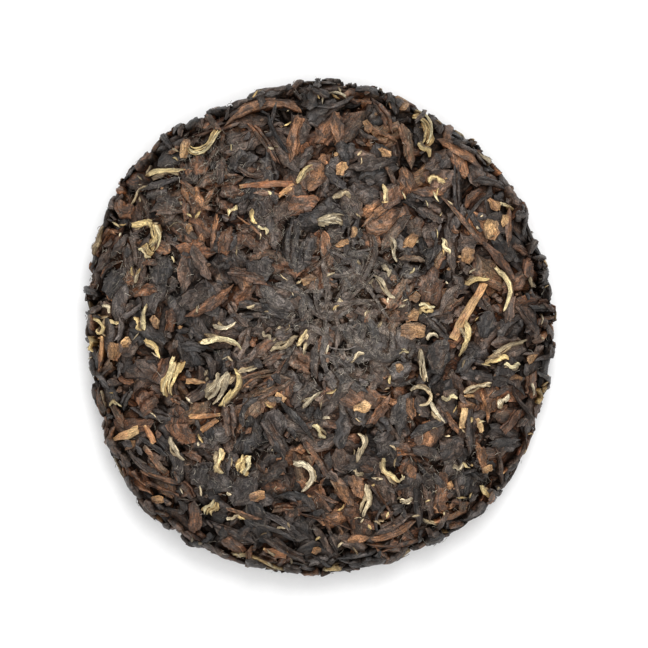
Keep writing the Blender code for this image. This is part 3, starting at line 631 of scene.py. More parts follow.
def section_tube(name, section, rings):
    """A closed tube along X with a given cross-section, its ring and corner numbers and its cap centres."""
    deselect_all()
    corners = len(section)
    bpy.ops.mesh.primitive_cylinder_add(
        vertices=corners, radius=0.5, depth=1.0, end_fill_type="TRIFAN", rotation=(0.0, math.pi / 2, 0.0)
    )
    tube = bpy.context.active_object
    tube.name = name
    bpy.ops.object.transform_apply(location=False, rotation=True, scale=False)
    bpy.ops.object.mode_set(mode="EDIT")
    bm = bmesh.from_edit_mesh(tube.data)
    for edge in bm.edges:
        edge.select = abs(edge.verts[0].co.x - edge.verts[1].co.x) > 0.9
    bmesh.update_edit_mesh(tube.data)
    bpy.ops.mesh.subdivide(number_cuts=rings - 2)
    bm = bmesh.from_edit_mesh(tube.data)
    at_ring = [round((vert.co.x + 0.5) * (rings - 1)) for vert in bm.verts]
    corner = [round(math.atan2(vert.co.z, vert.co.y) / math.tau * corners) % corners for vert in bm.verts]
    by_ring = [{i for i, ring in enumerate(at_ring) if ring == k} for k in range(rings)]
    centres = {i for i, vert in enumerate(bm.verts) if math.hypot(vert.co.y, vert.co.z) < 0.1}
    for k, (y, z) in enumerate(section):
        angle = math.tau * k / corners
        select_vertices(tube, {i for i, c in enumerate(corner) if c == k} - centres)
        bpy.ops.transform.translate(value=(0.0, y - 0.5 * math.cos(angle), z - 0.5 * math.sin(angle)))
    select_vertices(tube, centres)
    bpy.ops.transform.translate(value=(0.0, 0.0, 0.45))
    bpy.ops.object.mode_set(mode="OBJECT")
    grain = [(ring / (rings - 1) - 0.5, c / corners, 2 * section[c][0]) for ring, c in zip(at_ring, corner)]
    return tube, by_ring, np.array(grain)


def shape_rings(tube, by_ring, widths, thicknesses, wander, skew):
    """Narrows, thins, shifts and turns each ring of a tube."""
    bpy.ops.object.mode_set(mode="EDIT")
    for k, ring in enumerate(by_ring):
        middle = (k / (len(by_ring) - 1) - 0.5, 0.0, 0.0)
        select_vertices(tube, ring)
        bpy.ops.transform.resize(value=(1.0, widths[k], thicknesses[k]), center_override=middle)
        bpy.ops.transform.rotate(value=skew[k], orient_axis="Z", center_override=middle)
        bpy.ops.transform.translate(value=(0.0, wander[k], 0.0))
    bpy.ops.object.mode_set(mode="OBJECT")


def twist(obj, angle):
    """Twists an object about its length."""
    turn = obj.modifiers.new("twist", "SIMPLE_DEFORM")
    turn.deform_method = "TWIST"
    turn.deform_axis = "X"
    turn.angle = angle
    finish_modifiers(obj)


def crumple(obj, strength, scale, draw):
    """Gives the object soft uneven wrinkles, from its own corner of a cloud pattern."""
    texture = bpy.data.textures.new("crumple", "CLOUDS")
    texture.noise_scale = scale
    texture.noise_depth = 1
    obj.location = [draw.uniform(-9, 9) for _ in range(3)]
    bpy.context.view_layer.update()
    wrinkle = obj.modifiers.new("wrinkle", "DISPLACE")
    wrinkle.texture = texture
    wrinkle.texture_coords = "GLOBAL"
    wrinkle.strength = strength
    finish_modifiers(obj)
    bpy.data.textures.remove(texture)


def read_form(obj, grain):
    """Takes the finished shape as arrays, in its unit box, and removes the object."""
    mesh = obj.data
    points = np.empty(len(mesh.vertices) * 3)
    mesh.vertices.foreach_get("co", points)
    points = points.reshape(-1, 3)
    low, high = points.min(axis=0), points.max(axis=0)
    points = (points - low) / (high - low) - [0.5, 0.5, 0.0]
    faces = [tuple(face.vertices) for face in mesh.polygons]
    bpy.data.objects.remove(obj)
    bpy.data.meshes.remove(mesh)
    return Form(points, faces, grain)


def leaf_section(draw, folds, fullness, tops=7):
    """Corners of a pressed leaf's cross-section: a top broken by grooves and folds over a flat underside."""
    y = [0.5 - k / (tops - 1) for k in range(tops)]
    z = [0.3 + 0.7 * (1 - abs(2 * a) ** fullness) + draw.uniform(-0.08, 0.08) for a in y]
    for _ in range(folds):
        k = draw.randrange(2, tops - 2)
        if draw.random() < 0.5:
            z[k] -= draw.uniform(0.3, 0.5)
        else:
            side, drop = draw.choice((-1, 1)), draw.uniform(0.22, 0.4)
            z = [height - drop if (j - k) * side > 0 else height for j, height in enumerate(z)]
    return [(a, max(0.08, height)) for a, height in zip(y, z)] + list(UNDERSIDE)


def end_widths(draw, rings, starts, finishes, uneven=(0.8, 1.12)):
    """How wide a leaf is at each ring, as a share: drawn in to a tip or torn off blunt at either end."""
    rise, fall = draw.uniform(0.08, 0.35), draw.uniform(0.12, 0.6)
    start, finish = draw.uniform(*starts), draw.uniform(*finishes)
    widths = []
    for k in range(rings):
        s = k / (rings - 1)
        rising = start + (1 - start) * min(1.0, s / rise) ** 0.7
        falling = finish + (1 - finish) * min(1.0, (1 - s) / fall) ** 0.8
        widths.append(min(rising, falling) * draw.uniform(*uneven))
    return widths


TIPS = (0.25, 0.9)  # how wide a leaf may be at its start, as a share
TAILS = (0.08, 0.7)  # and at its end


def pressed_leaf(draw, folds, fullness, turn, rings, starts=TIPS, finishes=TAILS, wrinkle=0.12, tops=7):
    """A twisted leaf pressed flat: a folded strip with creases along it, pointed or torn at its ends."""
    tube, by_ring, grain = section_tube("pressed_leaf", leaf_section(draw, folds, fullness, tops), rings)
    widths = end_widths(draw, rings, starts, finishes)
    thick = [width**0.4 * draw.uniform(0.8, 1.05) for width in widths]
    wander = [draw.uniform(-0.06, 0.06) for _ in widths]
    skew = [draw.gauss(0, 0.16) for _ in widths]
    skew[0], skew[-1] = draw.uniform(-0.7, 0.7), draw.uniform(-0.7, 0.7)
    shape_rings(tube, by_ring, widths, thick, wander, skew)
    twist(tube, turn)
    crumple(tube, wrinkle * 2, 0.5, draw)
    crumple(tube, wrinkle, 0.2, draw)
    return read_form(tube, grain)


def open_leaf(draw, point=0.5, curl=0.25, columns=8, rows=5, ragged=0.12, wrinkle=0.35, torn=False):
    """An opened piece of leaf: a thin wavy plate with turned-up edges, drawn in at its ends or torn off."""
    deselect_all()
    bpy.ops.mesh.primitive_grid_add(x_subdivisions=columns, y_subdivisions=rows, size=1.0)
    leaf = bpy.context.active_object
    flat = [(vert.co.x, vert.co.y) for vert in leaf.data.vertices]
    grain = np.array([(x, y * 0.5, 2 * y) for x, y in flat])
    tip = 0.15
    lean, slant = draw.uniform(-0.3, 0.3), draw.uniform(-0.5, 0.5)
    first, last, peak = draw.uniform(0.15, 0.7), draw.uniform(0.15, 0.7), draw.uniform(0.3, 0.7)
    bpy.ops.object.mode_set(mode="EDIT")
    for k in range(columns + 1):
        x, s = k / columns - 0.5, k / columns
        if torn:
            wide = 1 - (1 - first) * max(0.0, 1 - s / peak) - (1 - last) * max(0.0, (s - peak) / (1 - peak))
        elif 0 < k < columns:
            wide = (math.sin(math.pi * s) ** point * (1 - tip) + tip) * (1 + lean * (2 * s - 1))
        else:
            wide = tip
        select_vertices(leaf, {i for i, (at, _) in enumerate(flat) if abs(at - x) < 0.01})
        uneven = wide * draw.uniform(1 - ragged, 1 + ragged)
        bpy.ops.transform.resize(value=(1.0, uneven, 1.0), center_override=(x, 0, 0))
        aside = draw.uniform(-0.6, 0.6) * ragged + (slant * x if torn else 0.0)
        bpy.ops.transform.translate(value=(draw.uniform(-0.2, 0.2) * ragged, aside, 0.0))
    for k in range(rows + 1):
        y = k / rows - 0.5
        select_vertices(leaf, {i for i, (_, at) in enumerate(flat) if abs(at - y) < 0.01})
        along = draw.uniform(-0.3, 0.3) * ragged
        bpy.ops.transform.translate(value=(along, 0.0, curl * (2 * y) ** 2 + draw.uniform(-0.08, 0.08)))
    bpy.ops.object.mode_set(mode="OBJECT")
    twist(leaf, draw.uniform(-0.6, 0.6))
    crumple(leaf, wrinkle, 0.45, draw)
    crumple(leaf, wrinkle * 0.35, 0.18, draw)
    wall = leaf.modifiers.new("wall", "SOLIDIFY")
    wall.thickness = 0.1
    wall.offset = 0.0
    finish_modifiers(leaf)
    if len(leaf.data.vertices) != 2 * len(grain):
        raise RuntimeError("the leaf's wall has an unexpected number of vertices")
    return read_form(leaf, np.concatenate([grain, grain]))


def bud(draw, turn):
    """One slim strand of a downy bud: a twisted, winding strip with a pinched waist and a fine tip."""
    rings = 14
    tube, by_ring, grain = section_tube("bud", leaf_section(draw, 1, 2.6), rings)
    widths = end_widths(draw, rings, (0.35, 0.8), (0.1, 0.4), (1.0, 1.0))
    waist, pinch = draw.uniform(0.35, 0.75), draw.uniform(0.1, 0.4)
    wave, start = draw.uniform(4.0, 8.0), draw.uniform(0, math.tau)
    winding = []
    for k in range(rings):
        s = k / (rings - 1)
        widths[k] *= (1 - pinch * math.exp(-(((s - waist) / 0.1) ** 2))) * draw.uniform(0.86, 1.08)
        winding.append(0.3 * math.sin(start + wave * s) + draw.uniform(-0.06, 0.06))
    thick = [width**0.5 * draw.uniform(0.9, 1.05) for width in widths]
    shape_rings(tube, by_ring, widths, thick, winding, [draw.gauss(0, 0.1) for _ in widths])
    twist(tube, turn)
    crumple(tube, 0.16, 0.3, draw)
    return read_form(tube, grain)


def round_section(corners):
    """Corners of a round cross-section that stands on its lowest point."""
    turns = [math.tau * k / corners for k in range(corners)]
    return [(0.5 * math.cos(turn), 0.5 + 0.5 * math.sin(turn)) for turn in turns]


def twig(draw, narrow):
    """A short straight sliver of stalk with a swollen joint, narrower at its start, cut flat at both ends."""
    rings = 10
    tube, by_ring, grain = section_tube("twig", round_section(10), rings)
    joint = draw.randrange(5, rings - 2)
    widths = [narrow + (0.9 - narrow) * min(1.0, k / joint) + draw.uniform(-0.06, 0.06) for k in range(rings)]
    widths[joint] += 0.12
    bends = [draw.uniform(-0.07, 0.07) for _ in widths]
    skew = [draw.gauss(0, 0.05) for _ in widths]
    shape_rings(tube, by_ring, widths, [width**0.5 for width in widths], bends, skew)
    crumple(tube, 0.2, 0.25, draw)
    return read_form(tube, grain)


def hair(draw):
    """One fine hair of down: a thin three-sided thread."""
    rings = 5
    tube, by_ring, grain = section_tube("hair", round_section(3), rings)
    widths = [draw.uniform(0.7, 1.0) for _ in range(rings)]
    shape_rings(tube, by_ring, widths, widths, [draw.uniform(-0.6, 0.6) for _ in widths], [0.0] * rings)
    return read_form(tube, grain)


def crumb(draw):
    """A broken crumb: a lump with uneven sides."""
    deselect_all()
    bpy.ops.mesh.primitive_ico_sphere_add(subdivisions=2, radius=0.5)
    lump = bpy.context.active_object
    grain = np.array([(vert.co.x, vert.co.y, 2 * vert.co.y) for vert in lump.data.vertices])
    crumple(lump, 1.0, 0.3, draw)
    return read_form(lump, grain)


def model_forms(seed):
    """Every form that the heap is made of, by name: its family and a number."""
    draw = random.Random(seed)
    forms = {}

    def model(family, count, make):
        for k in range(count):
            forms[f"{family}_{k}"] = make(k)

    def strip(folds, fullness, twisting, *rest):
        return pressed_leaf(draw, folds, fullness, draw.uniform(*twisting), *rest)

    def rope(_):
        return pressed_leaf(draw, 2, 3.0, draw.choice((-1, 1)) * draw.uniform(2.2, 4.5), 12)

    model("bed", 4, lambda k: pressed_leaf(draw, 1, 7.0, 0.1, 6, (0.6, 1.0), (0.5, 1.0), 0.16))
    model("slab", 8, lambda k: strip(1 + k % 3, 9.0, (-0.3, 0.3), 8, (0.5, 1.0), (0.35, 1.0), 0.24))
    model("pressed", 8, lambda k: strip(1 + k % 3, 7.0, (-0.5, 0.5), 9, (0.35, 1.0), (0.15, 0.9), 0.14))
    model("fine", 6, lambda k: strip(1 + k % 3, 7.0, (-0.4, 0.4), 12, (0.4, 1.0), (0.15, 0.8), 0.12, 9))
    model("roll", 5, lambda k: strip(1 + k % 2, 2.6, (-1.2, 1.2), 9))
    model("rope", 5, rope)
    model("open", 5, lambda k: open_leaf(draw, point=draw.uniform(0.3, 0.8), curl=-0.12))
    model("flake", 6, lambda k: open_leaf(draw, columns=6, ragged=0.1, curl=-0.05, wrinkle=0.4, torn=True))
    model("bud", 8, lambda k: bud(draw, draw.choice((-1, 1)) * draw.uniform(0.3, 1.8)))
    model("bit", 4, lambda k: strip(1, 7.0, (-0.8, 0.8), 5))
    model("chip", 6, lambda k: strip(1, 7.0, (-0.5, 0.5), 5, (0.5, 1.0), (0.3, 0.95), 0.2, 6))
    model("twig", 4, lambda k: twig(draw, 0.4 + 0.14 * k))
    model("crumb", 4, lambda k: crumb(draw))
    model("hair", 4, lambda k: hair(draw))
    return forms


# ----------------------------------------------------------
# Layers: which piece goes where
# ----------------------------------------------------------

NARROW_FORMS = ("pressed", "pressed", "slab", "roll", "roll", "rope", "open")
BROAD_FORMS = ("slab", "slab", "slab", "open", "open")
HAND_FORMS = ("fine", "fine", "open")
FORM_BREADTH = {"rope": 0.5, "roll": 0.65}  # a rolled leaf is narrower than an opened one
SOOTY_KINDS = ("charcoal_leaves",) * 3 + ("slate_leaves",) * 3 + ("jet_leaves",) * 3
RUDDY_KINDS = ("umber_leaves",) * 4 + ("plum_leaves",) * 3 + ("russet_leaves",) * 3
CHIP_KINDS = (None,) * 18 + ("tan_flakes", "russet_leaves")  # none: as the place has it

# A layer of random leaves: the families of its forms, the ranges of length, width and thickness in
# millimetres, how many low spots are compared for each place, how many places are compared, how much of what
# was listed a leaf may hide, and the kinds where the place doesn't say them.
Batch = namedtuple(
    "Batch", "families lengths widths thick tries choices most_hidden kinds", defaults=(0.12, None)
)
BED = Batch(("bed",), (7, 12), (4.5, 8), (0.5, 0.9), 4, 2)
FILLING = Batch(NARROW_FORMS, (4, 11), (1.3, 3.6), (0.5, 0.9), 3, 3)
BROAD = Batch(BROAD_FORMS, (4.5, 11), (3.0, 6.5), (0.45, 0.8), 3, 3)
NARROW = Batch(NARROW_FORMS, (4, 13), (1.1, 2.7), (0.5, 0.9), 4, 4, 0.2)
CHIPS = Batch(("chip",), (1.1, 3.4), (0.8, 2.2), (0.35, 0.7), 5, 2, 0.3, CHIP_KINDS)

FACE_SLOPE = 0.85  # upright part of a normal above which the surface is a face, where headings are free
FLANK_SLOPE = 0.8  # and under which it is the flank
RUDDY_SHARE = 0.36  # share of browner leaves away from the patches
SLIM_BUD = 1.75  # widest bud, in millimetres, that can be a single strand
SINGLE_SHARE = 0.88  # share of the slim buds that are
DARK_TONES = 0.55  # the listed dark leaves take this darker share of their tones
HAND_WIDTH = 1.15  # how much wider a piece is laid than it shows, as its edges sink in
RIM_END_STEPS = 14  # steps of the profile over the girth where the rim's leaf ends lie


class Layer:
    """Draws random pieces and lays them where the heap is lowest."""

    def __init__(self, heap, forms, scene):
        self.heap, self.surface = heap, heap.surface
        self.camera_height = scene.tea_cake_studio.camera_height
        self.draw = random.Random(scene.tea_cake_heap.seed)
        chosen = scene.tea_cake_colours
        self.tones = {
            kind: [np.array(getattr(chosen, f"{kind}_{shade}")) for shade in SHADES] for kind in COLOURS
        }
        self.families = {}
        for name in forms:
            self.families.setdefault(name.split("_")[0], []).append(name)

    def form(self, family):
        return self.draw.choice(self.families[family])

    def tone(self, kind, at):
        """The kind's colour at a share of the way from its dark shade to its pale one."""
        dark, middle, pale = self.tones[kind]
        return dark + (middle - dark) * at * 2 if at < 0.5 else middle + (pale - middle) * (at * 2 - 1)

    def colour(self, kind, near=None):
        """One of the kind's colours, drawn alike for pieces that lie near each other."""
        at = self.draw.random()
        if near is not None:
            at = min(max(0.8 * at + 0.1 + 0.9 * noise.noise(Vector(near) / (6 * MM)), 0.0), 1.0)
        return self.tone(kind, at)

    def leaf_kind(self, place):
        """A kind of leaf for a place: like ones gather, and browner ones where the photograph is browner."""
        point, _ = self.surface.at(*place)
        ruddy = RUDDY_SHARE + 1.2 * noise.noise(Vector(point) / (9 * MM))
        if point[2] > self.surface.body.girth_height:
            x, y = point[:2] / MM
            near = max(math.exp(-((x - a) ** 2 + (y - b) ** 2) / (2 * c * c)) for a, b, c in RUDDY_PATCHES)
            ruddy += 0.45 * near - 0.08
        return self.draw.choice(RUDDY_KINDS if self.draw.random() < ruddy else SOOTY_KINDS)

    def seen_at(self, x, y):
        """The place of the top that the camera sees at x, y in millimetres."""
        return self.surface.under_pixel(x * MM, y * MM, self.camera_height)

    def lowest(self, tries, least=0.0):
        """Of a few random spots past a share of the surface, the place where the heap is lowest."""
        picks = [self.draw.randrange(int(least * SPOTS), SPOTS) for _ in range(tries)]
        return tuple(self.heap.places[min(picks, key=lambda i: self.heap.reach[i])])

    def rim_heading(self, place):
        """The heading that follows the rim at a place, and the normal there."""
        _, normal = self.surface.at(*place)
        along, across = surface_directions(normal)
        around = np.array([-math.sin(place[1]), math.cos(place[1]), 0.0])
        return math.degrees(math.atan2(float(around @ across), float(around @ along))), normal

    def heading(self, place):
        """A free heading on the faces, and one that mostly follows the rim on the flank."""
        along_rim, normal = self.rim_heading(place)
        if abs(normal[2]) > FACE_SLOPE:
            return self.draw.uniform(0, 360)
        return along_rim + self.draw.gauss(0, self.draw.choice((20, 20, 45, 80)))

    def lay_leaves(self, count, batch):
        """Lays a layer of random leaves, each in the best of several places."""
        for _ in range(count):
            kind = self.draw.choice(batch.kinds) if batch.kinds else None
            self.lay_leaf(kind, batch)

    def lay_leaf(self, kind, batch):
        draw = self.draw
        family = draw.choice(batch.families)
        length = draw.uniform(*batch.lengths) * MM
        width = min(draw.uniform(*batch.widths) * MM, length * 0.8) * FORM_BREADTH.get(family, 1.0)
        height = draw.uniform(*batch.thick) * MM
        bend, sway = draw.gauss(0, 22), draw.gauss(0, 12)
        options = []
        for _ in range(batch.choices):
            place = self.lowest(batch.tries)
            middle = self.heading(place)
            options.append((place, (middle - bend + sway, middle, middle + bend + sway)))
        hidden, place, headings, footprint = self.heap.settle((length, width, height), options)
        if hidden > batch.most_hidden:
            return
        point, normal = self.surface.at(*place)
        flank = abs(normal[2]) < FLANK_SLOPE
        size = (length, width, height * (1.5 if flank else 1.0))
        curl = draw.uniform(0.0, 0.5 if flank else 0.25) * MM
        kind = kind or self.leaf_kind(place)
        tint = self.colour(kind, point)
        self.heap.lay(Piece(kind, self.form(family), place, size, headings, tint, curl), footprint)


def plan_heap(surface, forms, scene):
    """Lays every piece: broad leaves, those listed, narrow leaves in the gaps, crumbs and down."""
    counts = scene.tea_cake_heap
    layer = Layer(Heap(surface), forms, scene)
    layer.lay_leaves(counts.bed_leaves, BED)
    layer.lay_leaves(counts.filling_leaves, FILLING)
    layer.lay_leaves(counts.broad_leaves, BROAD)
    lay_strays(layer, counts)
    lay_by_hand(layer)
    layer.lay_leaves(counts.narrow_leaves, NARROW)
    layer.lay_leaves(counts.chips, CHIPS)
    crush_the_middle(layer, counts.crushed_chips)
    lay_rim_lumps(layer, counts.rim_lumps)
    lay_rim_ends(layer)
    lay_bud_bits(layer, counts.bud_bits)
    lay_crumbs(layer, counts.crumbs)
    lay_down(layer, counts.hairs)
    return layer.heap


def lay_strays(layer, counts):
    """Deals buds, twigs and brown leaves over the flank and underside, which the photograph can't show."""
    draw, surface = layer.draw, layer.surface
    flank = surface.area_share[np.argmax(surface.r > surface.body.radius * 0.93)]
    for kind, family, count, lengths, widths in (
        ("silver_buds", "bud", counts.stray_buds // 2, (3, 8), (0.8, 1.3)),
        ("golden_buds", "bud", counts.stray_buds // 2, (3, 9), (0.8, 1.4)),
        ("twigs", "twig", counts.stray_twigs, (4, 10), (1.1, 1.7)),
        ("russet_leaves", "pressed", counts.stray_buds, (4, 11), (1.6, 4.0)),
    ):
        for _ in range(count):
            place = layer.lowest(3, least=flank)
            middle = layer.heading(place)
            bend = 0.0 if family == "twig" else draw.gauss(0, 45)
            width = draw.uniform(*widths) * MM
            size = (draw.uniform(*lengths) * MM, width, min(width * 0.8, 0.9 * MM))
            headings = (middle - bend, middle, middle + bend * draw.uniform(0.3, 1.5))
            piece = Piece(kind, layer.form(family), place, size, headings, layer.colour(kind), 0.0)
            layer.heap.lay(piece, keep=True, stiffness=RIDING)


def lay_by_hand(layer):
    """Lays the pieces that stand out on the top in the photograph, each kind up to a thickness in mm."""
    draw = layer.draw
    families = {"tan_flakes": "flake", "twigs": "twig", "stalks": "twig"}
    for kind, rows, thick in (
        ("dark", DARK_LEAVES, 0.8),
        ("plum_leaves", PLUM_LEAVES, 0.8),
        ("umber_leaves", UMBER_LEAVES, 0.8),
        ("russet_leaves", RUSSET_LEAVES, 0.8),
        ("tan_flakes", TAN_FLAKES, 0.45),
        ("stalks", STALKS, 0.9),
        ("twigs", TWIGS, 1.0),
        ("silver_buds", SILVER_BUDS, 0.9),
        ("golden_buds", GOLDEN_BUDS, 1.0),
    ):
        for x, y, length, width, *turns in rows:
            headings = tuple(turns[:3]) if len(turns) > 1 else tuple(turns * 3)
            if kind.endswith("buds"):
                lay_bud(layer, kind, (x, y), (length, width), headings)
                continue
            place = layer.seen_at(x, y)
            name = {"dark": draw.choice(SOOTY_KINDS), "stalks": "umber_leaves"}.get(kind, kind)
            form = layer.form(families.get(kind) or draw.choice(HAND_FORMS))
            width *= HAND_WIDTH
            size = (length * MM, width * MM, min(thick, 0.35 + width * 0.3) * MM)
            at = turns[3] if len(turns) > 3 else draw.random()
            if kind == "dark":
                at = draw.uniform(0.0, DARK_TONES)
            piece = Piece(name, form, place, size, headings, layer.tone(name, at), 0.0)
            layer.heap.lay(piece, keep=True, stiffness=RIDING)


def lay_bud(layer, kind, middle, size, headings):
    """Lays a bud as a few strands: a slim one as one over a dull one, and a wide one as a fan of four."""
    draw = layer.draw
    length, width = size
    across = math.radians(headings[1] + 90)
    side = draw.choice((-1, 1))
    # A strand: its kind, how far aside it lies, its share of the length and of the width, how far it turns
    # away from the bud's own headings at its ends, and its tone.
    if width <= SLIM_BUD and draw.random() < SINGLE_SHARE:
        strands = [(kind, 0.0, 1.0, 1.0, 0, draw.uniform(0.4, 1.0))]
        if length > 3.6:
            reach, at = draw.uniform(0.7, 0.95), draw.uniform(0.0, 0.3)
            strands.insert(0, ("silver_buds", side * 0.35, reach, 0.8, side * 3, at))
    else:
        pale = 0.3 if kind == "silver_buds" else 0.0
        strands = [
            (kind, 0.0, 0.95, 1.15, 0, 0.1 + pale),
            (kind, -side * 0.34, draw.uniform(0.6, 0.85), 0.42, -side * 3, draw.uniform(0.3, 0.6) + pale),
            (kind, side * 0.02, draw.uniform(0.75, 0.95), 0.38, side, draw.uniform(0.4, 0.7) + pale),
            (kind, side * 0.36, 1.0, 0.5, side * 3, draw.uniform(0.6, 1.0)),
        ]
    for strand_kind, aside, reach, breadth, part, at in strands:
        shift = aside * width
        place = layer.seen_at(middle[0] + shift * math.cos(across), middle[1] + shift * math.sin(across))
        turned = (headings[0] - part, headings[1], headings[2] + part)
        thick = min(0.8, 0.25 + 0.45 * width * breadth)
        shape = (length * reach * MM, width * breadth * 1.35 * MM, thick * MM)
        piece = Piece(strand_kind, layer.form("bud"), place, shape, turned, layer.tone(strand_kind, at), 0.0)
        layer.heap.lay(piece, keep=True, stiffness=RIDING)


def crush_the_middle(layer, count):
    """Strews crushed bits over the flat middle of the top."""
    draw = layer.draw
    for _ in range(count):
        place = layer.seen_at(draw.gauss(2.0, 10.0), draw.gauss(-1.0, 9.0))
        length = draw.uniform(0.9, 2.8) * MM
        turn, kind = draw.uniform(0, 360), layer.leaf_kind(place)
        tint = layer.colour(kind, layer.surface.at(*place)[0])
        size = (length, length * draw.uniform(0.35, 0.7), 0.35 * MM)
        layer.heap.lay(Piece(kind, layer.form("chip"), place, size, (turn, turn, turn), tint, 0.0))


def lay_rim_lumps(layer, count):
    """Stands thick curled leaf ends out of the flank, mostly across the rim, for a rugged outline."""
    draw, heap = layer.draw, layer.heap
    flank = np.nonzero(np.abs(heap.normals[:, 2]) < 0.75)[0]
    for _ in range(count):
        place = tuple(heap.places[draw.choice(flank)])
        middle = layer.heading(place) + draw.choice((0, 90, 90))
        size = (draw.uniform(2.5, 7) * MM, draw.uniform(1.2, 2.6) * MM, draw.uniform(0.9, 1.8) * MM)
        headings = (middle - draw.gauss(0, 30), middle, middle + draw.gauss(0, 30))
        kind = layer.leaf_kind(place)
        form = layer.form(draw.choice(("roll", "pressed", "rope")))
        heap.lay(Piece(kind, form, place, size, headings, layer.colour(kind), 0.0))


def lay_rim_ends(layer):
    """Lays the leaf ends that stand out of the outline in the photograph."""
    draw = layer.draw
    for x, y, length, width, out, kind in RIM_ENDS:
        place = (float(layer.surface.girth_step - RIM_END_STEPS), math.atan2(y, x))
        middle, _ = layer.rim_heading(place)
        headings = (middle - draw.uniform(10, 40), middle, middle + draw.uniform(10, 40))
        tint = layer.colour(kind)
        form = layer.form("bud" if kind.endswith("buds") else "roll")
        size = (length * MM, width * MM, out * MM)
        layer.heap.lay(Piece(kind, form, place, size, headings, tint, 0.0), keep=True)


def lay_bud_bits(layer, count):
    """Scatters tiny broken bits of bud."""
    draw = layer.draw
    for _ in range(count):
        kind = draw.choice(("golden_buds", "silver_buds", "silver_buds"))
        size = (draw.uniform(0.6, 2.6) * MM, draw.uniform(0.25, 0.7) * MM, 0.4 * MM)
        turn = draw.uniform(0, 360)
        tint = layer.colour(kind)
        form = layer.form(draw.choice(("bit", "chip")))
        place = layer.lowest(1)
        layer.heap.lay(Piece(kind, form, place, size, (turn, turn, turn + draw.gauss(0, 40)), tint, 0.0))


def lay_crumbs(layer, count):
    """Lodges broken crumbs in the low places."""
    draw = layer.draw
    for _ in range(count):
        kind = draw.choice(("crumbs",) * 8 + ("tan_flakes",))
        length = draw.uniform(0.4, 1.2) * MM
        size = (length, length * draw.uniform(0.5, 0.9), length * 0.5)
        tint = layer.colour(kind)
        layer.heap.lay(Piece(kind, layer.form("crumb"), layer.lowest(4), size, (0, 0, 0), tint, 0.0))


def lay_down(layer, count):
    """Scatters fine pale hairs, thickest in the patches the photograph shows and thin everywhere else."""
    draw, heap = layer.draw, layer.heap
    clear = 0.02 * MM  # a hair lies this far over the highest point under it
    for k in range(count):
        if k % 3:
            x, y, spread = draw.choice(DOWN_PATCHES)
            x, y = draw.gauss(x, spread), draw.gauss(y, spread)
            if math.hypot(x, y) > 50:
                continue
            place = layer.seen_at(x, y)
        else:
            place = tuple(heap.places[draw.randrange(SPOTS)])
        middle = draw.uniform(0, 360)
        bend = draw.gauss(0, 50)
        width = draw.uniform(0.055, 0.095) * MM
        headings = (middle - bend, middle, middle + bend * draw.uniform(-1, 1))
        size = (draw.uniform(0.5, 1.6) * MM, width, width)
        tint = layer.colour("down_hairs")
        form, curl = layer.form("hair"), draw.uniform(0, 0.2) * MM
        piece = Piece("down_hairs", form, place, size, headings, tint, curl)
        index, share, _ = heap.footprint(place, (size[0], 1.0 * MM, width), headings)
        rest = np.full((len(STOPS), len(LANES)), heap.reach[index].max() + clear)
        for a, stop in enumerate(STOPS):
            near = np.abs(share - stop) < 0.25
            if near.any():
                rest[a] = heap.reach[index][near].max() + clear
        heap.laid.append((piece, rest))


# ----------------------------------------------------------
# Meshes from the plan
# ----------------------------------------------------------

OFF_THE_TABLE = 0.02 * MM  # the lowest leaves stop this far over the table
CREASE_ANGLE = math.radians(32)  # a leaf's folds sharper than this stay sharp
RIM_PAINTED_SHADE = 0.42  # painted shade: how much darker the rim is than the top
RIM_START = 0.86  # share of the radius from which it darkens
CORE_CUTS = 40


def mesh_from_arrays(name, points, corners, starts):
    """A mesh from its vertices, the vertex of every face corner, and each face's first corner."""
    mesh = bpy.data.meshes.new(name)
    mesh.vertices.add(len(points))
    mesh.vertices.foreach_set("co", points.ravel())
    mesh.loops.add(len(corners))
    mesh.loops.foreach_set("vertex_index", corners)
    mesh.polygons.add(len(starts))
    mesh.polygons.foreach_set("loop_start", starts)
    mesh.update(calc_edges=True)
    mesh.validate()
    return mesh


